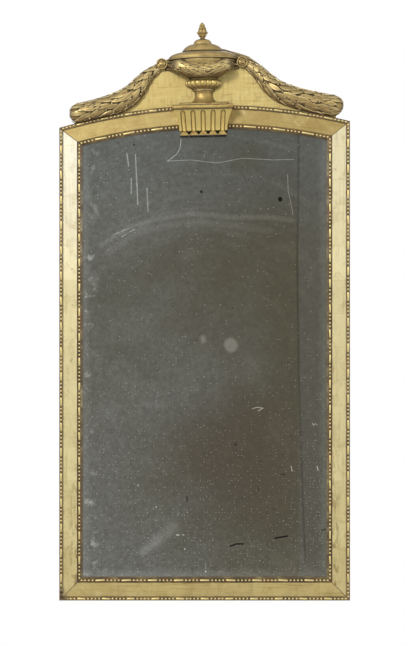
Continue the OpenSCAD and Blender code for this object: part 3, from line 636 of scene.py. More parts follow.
@dataclass(frozen=True)
class FieldLeaf:
    """The crest board's pale gilding, with fine scratches and a dirty line along the arch.

    Attributes:
        crack: Fall and height of the dark crack over the right shoulder.
        borders: Slope and height of the lines above which the board is bare and dusty.
    """

    name: str = "crest_field_gilding"
    gold: Gold = Gold()
    crack: tuple[float, float] = (0.4235, 0.1464)
    borders: tuple[tuple[float, float], ...] = ((-0.635, 0.1516), (-0.43, 0.1171))

    def dirt_and_shade(self, tree: Tree, u: Socket, w: Socket) -> Socket:
        """Dirt along the arch and in the crack, and painted shade inside the rings.

        Args:
            tree: The material.
            u: Distance right of the crest's middle.
            w: Height above the crown.

        Returns:
            Share of dirt and painted shade.
        """
        above = tree.less(tree.length(tree.plus(w, DATUM.arch_r), u), DATUM.arch_r)
        dirt_and_shade = tree.times(tree.step(above, 0.0020, 0.0006), tree.step(tree.noise(50.0), 0.3, 0.6, 0.5, 0.95))
        # painted shade: the board dark inside each ring
        for side, ring_u in zip((-1, 1), Rings.us):
            off = tree.length(tree.less(u, side * ring_u), tree.less(w, Rings.up))
            dirt_and_shade = tree.most(dirt_and_shade, tree.step(off, 0.0095, 0.0075, 0.0, 0.8))
        fall, high = self.crack
        off = tree.size(tree.less(tree.plus(w, tree.times(u, fall)), high))
        crack = tree.step(off, 0.0006, 0.0014, 0.95, 0.0)
        return tree.most(dirt_and_shade, tree.times(crack, tree.step(u, 0.040, 0.041)))

    def build(self) -> Material:
        """The finished material."""
        tree, gold = Tree(self.name), self.gold
        at = tree.crest_place()
        u, y, w = tree.split(at)
        down = tree.noise(1.0, 4.0, 0.7, tree.scaled(170.0, 1.0, 26.0, at))
        across = tree.noise(1.0, 4.0, 0.7, tree.scaled(14.0, 1.0, 190.0, at))
        fine = tree.noise(420.0, 3.0, 0.6)
        colour = tree.mix(tree.step(tree.noise(16.0, 5.0, 0.6), 0.25, 0.75, 0.0, 0.26), gold.leaf, gold.pale)
        for scratch in (down, across):
            colour = tree.mix(tree.step(scratch, 0.54, 0.70, 0.0, 0.6), colour, gold.pale)
            colour = tree.mix(tree.step(scratch, 0.47, 0.28, 0.0, 0.8), colour, gold.deep)
        colour = tree.mix(tree.step(tree.noise(60.0, 2.0), 0.68, 0.76, 0.0, 0.5), colour, gold.deep)
        # painted shade: deeper gold towards the left
        colour = tree.mix(tree.step(u, 0.05, -0.12, 0.0, 0.20), colour, gold.deep)
        dirt_and_shade = self.dirt_and_shade(tree, u, w)
        borders = [tree.plus(tree.times(tree.size(u), slope), high) for slope, high in self.borders]
        beyond = tree.step(tree.less(w, tree.most(*borders)), 0.0, 0.001, 0.0, 0.9)
        dusty = tree.mix(tree.step(tree.noise(70.0, 4.0), 0.35, 0.7), gold.dust_and_shade, gold.deep)
        colour = tree.mix(dirt_and_shade, tree.mix(beyond, colour, dusty), gold.grime_and_shade)
        edge = tree.step(y, -DATUM.crest_front + 0.0006, -DATUM.crest_front + 0.0022)
        worn = tree.mix(tree.step(tree.noise(40.0, 4.0), 0.35, 0.65), gold.grime_and_shade, gold.dust_and_shade)
        colour = tree.mix(edge, colour, worn)
        behind = tree.step(y, -0.0128, -0.0122)
        wood, grain = OldPine().colour(tree)
        colour = tree.mix(behind, colour, wood)
        clean = tree.rest(tree.most(dirt_and_shade, edge, behind, beyond))
        rough = tree.plus(tree.times(clean, -0.34), 0.70, tree.times(fine, 0.1))
        height = tree.plus(down, across, tree.times(fine, 0.5), tree.times(grain, behind))
        return tree.finish(Base_Color=colour, Metallic=tree.times(clean, 0.55), Roughness=rough,
                           Normal=tree.bump(height, 0.00022, 0.6))


class Hollows(Enum):
    """Where a carved gilding finds its hollows."""

    PAINTED = "painted"
    FLUTES = "flutes"
    CORNICE = "cornice"


@dataclass(frozen=True)
class CarvedGilding:
    """Gilding on carved work: dirt and painted shade in the hollows, painted shade on its sides and
    undersides, painted highlight on the high places.

    Attributes:
        tone: Share of the deeper colour all over.
        hollows: What the hollows come from.
        dull: How far the gold has gone dull and dusty.
        deepest_black: How black the deepest hollows are, dirt with painted shade.
    """

    name: str
    tone: float = 0.88
    hollows: Hollows = Hollows.PAINTED
    dull: float = 0.0
    deepest_black: float = 1.0
    gold: Gold = Gold()

    def in_flutes(self, tree: Tree) -> Socket:
        """Grime and painted shade round the keystone's flutes and in their floors.

        Args:
            tree: The material.

        Returns:
            Its depth, from 0 to 1.
        """
        key = Keystone()
        u, y, w = tree.split(tree.crest_place())
        rise = tree.less(w, key.waist_up)
        reach = tree.math("SQRT", tree.less(key.hollow_r**2, tree.times(rise, rise)))
        cut = tree.less(y, tree.less(reach, key.waist_d + key.hollow_r))
        pitch = tree.plus(key.pitch, tree.times(rise, math.radians(key.splay)))
        place = tree.math("DIVIDE", tree.plus(u, key.off), pitch)
        across = tree.times(pitch, tree.less(tree.math("FRACT", tree.plus(place, 0.5)), 0.5))
        off = tree.length(across, tree.most(tree.less(w, key.flute_top), 0.0))
        rim = tree.step(tree.size(tree.less(off, key.flute / 2 + 0.0006)), 0.0004, 0.0012, 0.74, 0.0)
        within = tree.step(tree.size(place), 2.48, 2.52, 1.0, 0.0)
        return tree.times(tree.most(rim, tree.step(cut, 0.0002, 0.0035, 0.0, 0.15)), within)

    def in_cornice(self, tree: Tree) -> Socket:
        """Painted shade with grime under the plinth's mouldings, on its sunk faces and between the drops.

        Args:
            tree: The material.

        Returns:
            Its depth, from 0 to 1.
        """
        key = Keystone()
        _, y, w = tree.split(tree.crest_place())
        found = tree.step(y, -0.062, -0.050)
        for line in key.cornice_lines:
            found = tree.most(found, tree.step(tree.size(tree.less(w, line)), 0.0007, 0.0018, 1.0, 0.0))
        tips = tree.step(w, key.drop_low + 0.0009, key.drop_low + 0.0004, 0.0, 0.8)
        between = tree.times(tree.step(w, -0.040, -0.041), tree.most(tips, tree.step(y, -0.046, -0.040)))
        return tree.most(tree.times(found, tree.step(w, -0.041, -0.040)), between)

    def build(self) -> Material:
        """The finished material."""
        tree, gold = Tree(self.name), self.gold
        cloud = tree.noise(55.0, 4.0, 0.6)
        fine = tree.noise(380.0, 3.0, 0.6)
        brown = tree.mix(0.5, gold.deep, gold.bole)
        colour = tree.mix(tree.step(cloud, 0.2, 0.8, self.tone * 0.4, self.tone * 1.6), gold.leaf, gold.deep)
        # painted highlight: pale gold on the ridges, partly rubbed leaf
        colour = tree.mix(tree.step(tree.painted("ridge"), 0.1, 0.9, 0.0, 0.75), colour, gold.pale)
        colour = tree.mix(tree.step(tree.noise(26.0, 5.0, 0.65), 0.62, 0.72, 0.0, 0.5), colour, gold.bole)
        uneven = tree.times(tree.less(cloud, 0.5), 0.25)
        if self.hollows is Hollows.PAINTED:
            # painted shade: faces turned from the front and undersides darker, with real dust on the turned
            # faces
            facing = tree.painted("facing")
            dirt_and_shade = tree.plus(tree.painted("shelter"), uneven, tree.step(facing, 0.72, 0.12, 0.0, 0.30))
            dirt_and_shade = tree.most(dirt_and_shade, tree.worn_corner())
            colour = tree.mix(tree.step(facing, 0.86, 0.35, self.dull * 0.5, 0.85), colour, gold.dust_and_shade)
            colour = tree.mix(tree.step(tree.painted("under"), 0.15, 0.95, 0.0, 0.60), colour, brown)
        elif self.hollows is Hollows.FLUTES:
            dirt_and_shade = tree.plus(self.in_flutes(tree), uneven)
        else:
            dirt_and_shade = tree.plus(self.in_cornice(tree), uneven)
            worn = tree.noise(1.0, 4.0, 0.65, tree.scaled(45.0, 60.0, 170.0, tree.crest_place()))
            colour = tree.mix(tree.step(worn, 0.50, 0.62, 0.0, 0.75), colour, gold.bole)
        # dirt with painted shade: the hollows darken to grime, near black at the deepest
        dirt_and_shade = tree.step(dirt_and_shade, 0.16, 0.72, 0.0, 0.97)
        colour = tree.mix(tree.step(dirt_and_shade, 0.0, 0.5), colour, tree.mix(0.5, gold.deep, gold.grime_and_shade))
        colour = tree.mix(tree.step(dirt_and_shade, 0.35, 1.0, 0.0, self.deepest_black), colour, gold.grime_and_shade)
        clean = tree.rest(dirt_and_shade)
        rough = tree.plus(tree.times(clean, self.dull * 0.2 - 0.31), 0.70, tree.times(fine, 0.08))
        height = tree.plus(cloud, tree.times(fine, 0.5))
        return tree.finish(Base_Color=colour, Metallic=tree.times(clean, 0.65), Roughness=rough,
                           Normal=tree.bump(height, 0.0006, 0.5))


@dataclass(frozen=True)
class Mark:
    """One mark on the plate, a bent stroke from point to point.

    Attributes:
        path: Its points, as (x, z) on the plate in millimetres.
        half: Half its width in millimetres.
        soft: Width in millimetres over which its edge fades.
        strength: How much it covers.
        broken: Clouds in a metre that break it up, or 0.
    """

    path: tuple[tuple[float, float], ...]
    half: float
    soft: float
    strength: float
    broken: float = 0.0

    def cover(self, tree: Tree, flat: Socket) -> Socket:
        """What the mark covers.

        Args:
            tree: The material.
            flat: Coordinates on the plate.

        Returns:
            Share of the plate.
        """
        gaps = []
        points = [Vector((x, z, 0.0)) * MM for x, z in self.path]
        for start, end in zip(points, points[1:]):
            run = end - start
            off = tree.shifted(flat, tuple(start))
            share = tree.held(tree.measure("DOT_PRODUCT", off, tuple(run / run.length_squared)))
            back = tree.add("ShaderNodeVectorMath", {0: tuple(run), "Scale": share}, operation="SCALE")
            gaps.append(tree.measure("DISTANCE", off, back.outputs[0]))
        near = tree.chain("MINIMUM", *gaps)
        cover = tree.step(near, self.half * MM, (self.half + self.soft) * MM, self.strength, 0.0)
        if self.broken:
            cover = tree.times(cover, tree.step(tree.noise(self.broken, 3.0), 0.4, 0.62))
        return cover


@dataclass(frozen=True)
class OldPlate:
    """Mirror plate with a tired silvering: foxed, wiped, scratched and speckled.

    Attributes:
        warm_at: Middle of the reddish part.
        stain_at: Middle of the brown stain near the top.
        wiped_about: What the arcs of wiping turn about.
        light, dark: The marks that are paler and darker than the plate.
    """

    name: str = "old_mirror_plate"
    silver: Colour = (0.80, 0.83, 0.785)
    brown: Colour = (0.51, 0.475, 0.345)
    red: Colour = (0.44, 0.35, 0.26)
    cool: Colour = (0.80, 0.865, 0.88)
    blue: Colour = (0.59, 0.63, 0.61)
    film: Colour = (0.42, 0.42, 0.39)
    shade: Colour = (0.30, 0.295, 0.26)
    chalk: Colour = (0.78, 0.77, 0.72)
    black: Colour = (0.03, 0.028, 0.025)
    warm_at: Place = (0.058, 0.330, 0.0)
    stain_at: Place = (0.095, 1.005, 0.0)
    wiped_about: Place = (0.0, 0.53, 0.0)
    light: tuple[Mark, ...] = ()
    dark: tuple[Mark, ...] = ()

    def silvering(self, tree: Tree, flat: Socket) -> Socket:
        """The silvering under film and marks, cool above and brown below.

        Args:
            tree: The material.
            flat: Coordinates on the plate.

        Returns:
            Its colour.
        """
        x, z, _ = tree.split(flat)
        drift = tree.plus(tree.times(x, 1.3), tree.times(tree.less(tree.noise(3.0, 4.0), 0.5), 1.6))
        share = tree.step(drift, -0.42, 0.34)
        above, below = tree.mix(share, self.cool, self.blue), tree.mix(share, self.silver, self.brown)
        colour = tree.mix(tree.step(z, 0.78, 1.02, 0.0, 0.85), below, above)
        warm = tree.plus(tree.measure("DISTANCE", flat, self.warm_at), tree.times(tree.noise(9.0, 4.0), 0.15))
        colour = tree.mix(tree.step(warm, 0.30, 0.10, 0.0, 0.65), colour, self.red)
        ragged = tree.times(tree.noise(30.0, 5.0, 0.7), 0.14)
        stain = tree.plus(tree.measure("DISTANCE", flat, self.stain_at), ragged)
        colour = tree.mix(tree.step(stain, 0.13, 0.08, 0.0, 0.5), colour, self.brown)
        # painted reflection: cooler and paler right of an upright line
        colour = tree.mix(tree.step(x, 0.211, 0.217, 0.0, 0.26), colour, self.cool)
        return tree.mix(tree.step(tree.noise(110.0, 4.0, 0.7), 0.30, 0.72, 0.0, 0.40), colour, self.shade)

    def grey_film(self, tree: Tree, flat: Socket) -> Socket:
        """The grey film: haze, arcs of wiping, and the edges where it creeps in.

        Args:
            tree: The material.
            flat: Coordinates on the plate.

        Returns:
            Share of film.
        """
        x, z, _ = tree.split(flat)
        across, up, _ = tree.split(tree.shifted(flat, self.wiped_about))
        out = tree.times(tree.measure("DISTANCE", flat, self.wiped_about), 60.0)
        arcs = tree.join(out, tree.times(tree.math("ARCTAN2", across, up), 1.6))
        wiped = tree.step(tree.noise(1.0, 5.0, 0.7, arcs, 0.6), 0.50, 0.78, 0.0, 0.06)
        wiped = tree.times(wiped, tree.step(z, 0.58, 0.78, 0.4, 1.0))
        film = tree.plus(tree.step(tree.noise(7.0, 6.0, 0.7, None, 0.8), 0.50, 0.78, 0.01, 0.08), wiped)
        beside = tree.less(DATUM.width / 2 - DATUM.member, tree.size(x))
        edge = tree.math("MINIMUM", beside, tree.less(z, DATUM.member))
        edge = tree.plus(edge, tree.times(tree.less(tree.noise(30.0, 4.0), 0.5), 0.03))
        blotch = tree.step(tree.noise(38.0, 4.0, 0.6), 0.52, 0.70, 0.0, 0.30)
        blotch = tree.times(blotch, tree.step(x, -0.225, -0.265))
        return tree.most(film, tree.step(edge, 0.002, 0.026, 0.09, 0.0), blotch)

    def specks(self, tree: Tree, flat: Socket, scale: float, size: tuple[float, float],
               least: tuple[float, float], cover: tuple[float, float]) -> Socket:
        """Light specks scattered over the plate, thinner towards the top.

        Args:
            tree: The material.
            flat: Coordinates on the plate.
            scale: Cells in a metre.
            size: Where a speck begins and ends to fade, as shares of a cell.
            least: Share of the cells that stay empty, low down and high up.
            cover: Weakest and strongest cover.

        Returns:
            Share of the plate that they cover.
        """
        empty = tree.step(tree.split(flat)[1], 0.15, 0.70, *least)
        distance, pick = tree.cells(flat, scale)
        speck = tree.times(tree.step(distance, *size, 1.0, 0.0), tree.math("GREATER_THAN", pick[0], empty))
        return tree.times(speck, tree.step(pick[1], 0.2, 1.0, *cover))

    def build(self) -> Material:
        """The finished material."""
        tree = Tree(self.name)
        x, _, z = tree.split(tree.place)
        flat = tree.join(x, z)
        fine = self.specks(tree, flat, 140.0, (0.05, 0.17), (0.40, 0.88), (0.14, 0.52))
        coarse = self.specks(tree, flat, 55.0, (0.022, 0.068), (0.78, 0.95), (0.18, 0.62))
        light, dark = ([mark.cover(tree, flat) for mark in marks] for marks in (self.light, self.dark))
        cover = tree.most(self.grey_film(tree, flat), fine, coarse, *light)
        distance, pick = tree.cells(flat, 24.0)
        fox = tree.times(tree.step(distance, 0.02, 0.05, 1.0, 0.0), tree.math("GREATER_THAN", pick[1], 0.90))
        spoilt = tree.most(tree.times(fox, 0.6), *dark)
        lit = tree.mix(tree.step(cover, 0.3, 0.8), self.film, self.chalk)
        colour = tree.mix(cover, self.silvering(tree, flat), lit)
        colour = tree.mix(spoilt, colour, self.black)
        rough = tree.plus(0.07, tree.times(cover, 0.5))
        return tree.finish(Base_Color=colour, Metallic=tree.rest(cover), Roughness=rough, Coat_Weight=0.6,
                           Coat_Roughness=0.05, Normal=tree.bump(tree.noise(9.0, 2.0, 0.5), 0.0006, 0.15))


@dataclass(frozen=True)
class TinFoil:
    """The dull amalgam of tin on the back of the plate."""

    name: str = "tin_foil"
    bright: Colour = (0.55, 0.56, 0.56)
    dull: Colour = (0.25, 0.25, 0.24)

    def build(self) -> Material:
        """The finished material."""
        tree = Tree(self.name)
        stain = tree.noise(18.0, 6.0, 0.7)
        crease = tree.noise(70.0, 4.0, 0.6, None, 1.2)
        colour = tree.mix(tree.step(stain, 0.35, 0.7), self.bright, self.dull)
        return tree.finish(Base_Color=colour, Metallic=0.9, Roughness=tree.step(stain, 0.3, 0.7, 0.3, 0.6),
                           Normal=tree.bump(crease, 0.0005, 0.5))


@dataclass(frozen=True)
class ForgedIron:
    """Hand-forged iron with a brown rust in its pits."""

    name: str = "forged_iron"
    steel: Colour = (0.085, 0.08, 0.078)
    rust: Colour = (0.16, 0.06, 0.024)

    def build(self) -> Material:
        """The finished material."""
        tree = Tree(self.name)
        pits = tree.noise(130.0, 5.0, 0.65)
        spread = tree.step(tree.noise(45.0, 4.0), 0.42, 0.62)
        colour = tree.mix(spread, self.steel, self.rust)
        return tree.finish(Base_Color=colour, Metallic=tree.less(0.85, tree.times(spread, 0.8)),
                           Roughness=tree.step(pits, 0.3, 0.7, 0.45, 0.8),
                           Normal=tree.bump(pits, 0.0008, 0.7))


# ---------------------------------------------------------------- making of pieces


def mesh_of(name: str, shape: BMesh) -> Mesh:
    """Ends a shape as a mesh.

    Args:
        name: The mesh's name.
        shape: The shape, which is used up.

    Returns:
        The mesh.
    """
    mesh = bpy.data.meshes.new(name)
    shape.to_mesh(mesh)
    shape.free()
    return mesh


def added(name: str, data: ID) -> Object:
    """Adds an object to the scene.

    Args:
        name: Its name.
        data: Its mesh, lamp or camera.

    Returns:
        The object.
    """
    thing = bpy.data.objects.new(name, data)
    bpy.context.scene.collection.objects.link(thing)
    return thing


class Maker:
    """Turns shapes into pieces of the part, and dresses the nodes that stay."""

    def __init__(self) -> None:
        """Starts with no pieces."""
        self.made: list[Object] = []

    def piece(self, name: str, shape: BMesh, finish: Material, slot: str, nodes: tuple[str, ...],
              crease: float = 38.0) -> Object:
        """Makes a piece from a shape.

        Args:
            name: The piece's name.
            shape: Its shape, in place, which is used up.
            finish: Its material.
            slot: A material slot's name; not used.
            nodes: The nodes that it stands for.
            crease: Angle in degrees above which an edge stays sharp.

        Returns:
            The new object.
        """
        shape.normal_update()
        bmesh.ops.recalc_face_normals(shape, faces=shape.faces)
        mesh = mesh_of(name, shape)
        mesh.polygons.foreach_set("use_smooth", [True] * len(mesh.polygons))
        mesh.set_sharp_from_angle(angle=math.radians(crease))
        mesh.materials.append(finish)
        thing = added(name, mesh)
        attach(thing, ROOT)
        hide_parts(*nodes)
        self.made.append(thing)
        LOG.info("made %s: %d faces, for %s", name, len(mesh.polygons), ", ".join(nodes))
        return thing

    def dress(self, finish: Material, *nodes: str) -> None:
        """Gives nodes that stay a material.

        Args:
            finish: The material.
            *nodes: The nodes' names.
        """
        for node in nodes:
            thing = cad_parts[node]
            for slot in thing.material_slots:
                slot.material = finish
            LOG.info("dressed %s in %s", node, finish.name)


@dataclass
class Shelter:
    """Paints how deep each point of the carving lies, and how far it stands out.

    Attributes:
        reach: How far away something still shelters a point.
        rays: Directions that are tried from each point.
        lift: How far off the surface they start.
        grazing: Least share of a direction that leads away from the surface.
    """

    reach: float = 0.013
    rays: int = 36
    lift: float = 0.0003
    grazing: float = 0.08

    def directions(self) -> list[Vector]:
        """Directions spread evenly over a ball."""
        golden = math.pi * (3 - math.sqrt(5))
        found = []
        for i in range(self.rays):
            z = 1 - 2 * (i + 0.5) / self.rays
            r = math.sqrt(1 - z * z)
            found.append(Vector((r * math.cos(golden * i), r * math.sin(golden * i), z)))
        return found

    def tree_of(self, things: list[Object]) -> BVHTree:
        """A search tree over the faces of several objects.

        Args:
            things: The objects.

        Returns:
            The search tree.
        """
        points: list[Vector] = []
        faces: list[list[int]] = []
        for thing in things:
            base = len(points)
            points += [v.co for v in thing.data.vertices]
            faces += [[base + i for i in face.vertices] for face in thing.data.polygons]
        return BVHTree.FromPolygons(points, faces)

    def paint(self, things: list[Object], around: list[Object]) -> None:
        """Paints the objects.

        Args:
            things: The pieces to paint.
            around: What else shelters them.
        """
        search = self.tree_of(things + around)
        ways = self.directions()
        for thing in things:
            mesh = thing.data
            deep = []
            for vertex in mesh.vertices:
                start = vertex.co + vertex.normal * self.lift
                open_ways = [way for way in ways if way.dot(vertex.normal) > self.grazing]
                hits = 0.0
                for way in open_ways:
                    far = search.ray_cast(start, way, self.reach)[3]
                    hits += 0.0 if far is None else 1 - far / self.reach
                deep.append(hits / max(1, len(open_ways)))
            # shelter feeds the carving's dirt and painted shade in its hollows
            self.write(mesh, "shelter", deep)
            self.write(mesh, "ridge", self.ridges(mesh))
            # facing and under feed the carving's painted shade on its sides and undersides
            self.write(mesh, "facing", [max(0.0, -vertex.normal.y) for vertex in mesh.vertices])
            self.write(mesh, "under", [max(0.0, -vertex.normal.z) for vertex in mesh.vertices])

    def write(self, mesh: Mesh, name: str, values: list[float]) -> None:
        """Writes a number on each point of a mesh, for its finish to read."""
        mesh.attributes.new(name, "FLOAT", "POINT").data.foreach_set("value", values)

    def ridges(self, mesh: Mesh) -> list[float]:
        """How far each point stands out from its neighbours.

        Args:
            mesh: The mesh.

        Returns:
            A number from 0 to 1 for each point.
        """
        total = [Vector() for _ in mesh.vertices]
        count = [0] * len(mesh.vertices)
        for a, b in (edge.vertices for edge in mesh.edges):
            run = mesh.vertices[b].co - mesh.vertices[a].co
            if run.length > 1e-7:
                total[a] += run.normalized()
                total[b] -= run.normalized()
                count[a] += 1
                count[b] += 1
        return [max(0.0, min(1.0, -2.2 * (total[v.index] / max(1, count[v.index])).dot(v.normal)))
                for v in mesh.vertices]


def stamp(into: BMesh, pattern: Mesh, move: Callable[[Vector], Vector]) -> None:
    """Adds a copy of a small shape, each point put in place.

    Args:
        into: The shape that grows.
        pattern: What is copied.
        move: Gives a point's place from its place in the pattern.
    """
    first = len(into.verts)
    into.from_mesh(pattern)
    into.verts.ensure_lookup_table()
    for vertex in into.verts[first:]:
        vertex.co = move(vertex.co)


def close(shape: BMesh) -> None:
    """Closes a shape's open edges."""
    bmesh.ops.holes_fill(shape, edges=[edge for edge in shape.edges if edge.is_boundary])


def ball(name: str, around: int, along: int) -> Mesh:
    """A ball of radius 1 with its poles on z.

    Args:
        name: The mesh's name.
        around: Facets round it.
        along: Facets from pole to pole.

    Returns:
        The ball, as a pattern.
    """
    shape = bmesh.new()
    bmesh.ops.create_uvsphere(shape, u_segments=around, v_segments=along, radius=1.0)
    return mesh_of(name, shape)


def half_ball(name: str, around: int, along: int) -> Mesh:
    """The half of a ball in front of y = 0, closed behind.

    Args:
        name: The mesh's name.
        around: Facets round the whole ball.
        along: Facets from pole to pole.

    Returns:
        The half, as a pattern.
    """
    shape = bmesh.new()
    bmesh.ops.create_uvsphere(shape, u_segments=around, v_segments=along, radius=1.0)
    everything = shape.verts[:] + shape.edges[:] + shape.faces[:]
    bmesh.ops.bisect_plane(shape, geom=everything, plane_co=(0, 0, 0), plane_no=(0, 1, 0), clear_outer=True)
    close(shape)
    return mesh_of(name, shape)


def laurel(p: Vector, face: float, back: float, vein: float, blunt: float) -> tuple[float, float, float]:
    """A point of a laurel leaf, from a point of a ball whose poles are its stalk and tip.

    Args:
        p: The point of the ball.
        face: Thickness of the leaf's face.
        back: Thickness of its back.
        vein: Share of the face's thickness that is left at the sunk vein.
        blunt: Power that blunts the ends where it is under 1.

    Returns:
        Share of the way to the tip, share of the half width, and height.
    """
    t = (p.z + 1) / 2
    lens = math.sin(math.pi * t**0.9) ** blunt if 0 < t < 1 else 0.0
    turn = math.atan2(p.y, p.x)
    thick = math.sin(turn) * (face if p.y > 0 else back) * lens**0.5
    if p.y > 0 and abs(p.x) < 0.05:
        thick *= vein
    return t, math.cos(turn) * lens, thick


def spun(profile: Outline, relief: float, steps: int, turn: float = math.pi) -> BMesh:
    """Half-round work on the crest's axes, turned from a profile and flattened.

    Args:
        profile: Its outline as (radius, height) from the foot of the axis to its top.
        relief: Its depth as a share of the radius.
        steps: Facets round it.
        turn: How far it is turned.

    Returns:
        The closed shape, its back on the plane y = 0.
    """
    shape = bmesh.new()
    points = [shape.verts.new((r, 0, w)) for r, w in profile]
    edges = [shape.edges.new(pair) for pair in zip(points, points[1:])]
    full = turn == 2 * math.pi
    bmesh.ops.spin(shape, geom=points + edges, cent=(0, 0, 0), axis=(0, 0, -1), dvec=(0, 0, 0), angle=turn,
                   steps=steps, use_merge=full)
    bmesh.ops.remove_doubles(shape, verts=shape.verts, dist=1e-6)
    close(shape)
    bmesh.ops.scale(shape, vec=(1, relief, 1), verts=shape.verts)
    return shape


def curve(points: Outline, steps: int) -> Outline:
    """Points of a cubic curve in the plane, both ends among them."""
    line = [Vector(p) for p in points]
    return [tuple(bezier(line, i / steps)) for i in range(steps + 1)]


# ---------------------------------------------------------------- sub-assemblies


@dataclass
class FrameMembers:
    """The four mitred members, which stay as the model has them."""

    maker: Maker

    def build(self) -> None:
        """Dresses the members."""
        dress = self.maker.dress
        # one burnished gold in lit and shaded copies: the uprights' paler gold is painted reflection, the
        # arch's deeper gold painted shade
        upright = BurnishedLeaf("gilding_upright", Run.UPRIGHT, offset=0.42, fall=0.06, shine=0.8,
                                patches=0.3)
        level = BurnishedLeaf("gilding_level", Run.LEVEL, offset=0.57, fall=0.18, shine=0.45)
        arch = BurnishedLeaf("gilding_arch", Run.ARCH, offset=0.2, tone=0.44, patches=0.55,
                             steps=(0.0085, 0.0425))
        dress(upright.build(), "left_stile", "right_stile")
        dress(level.build(), "bottom_rail")
        dress(arch.build(), "top_rail")


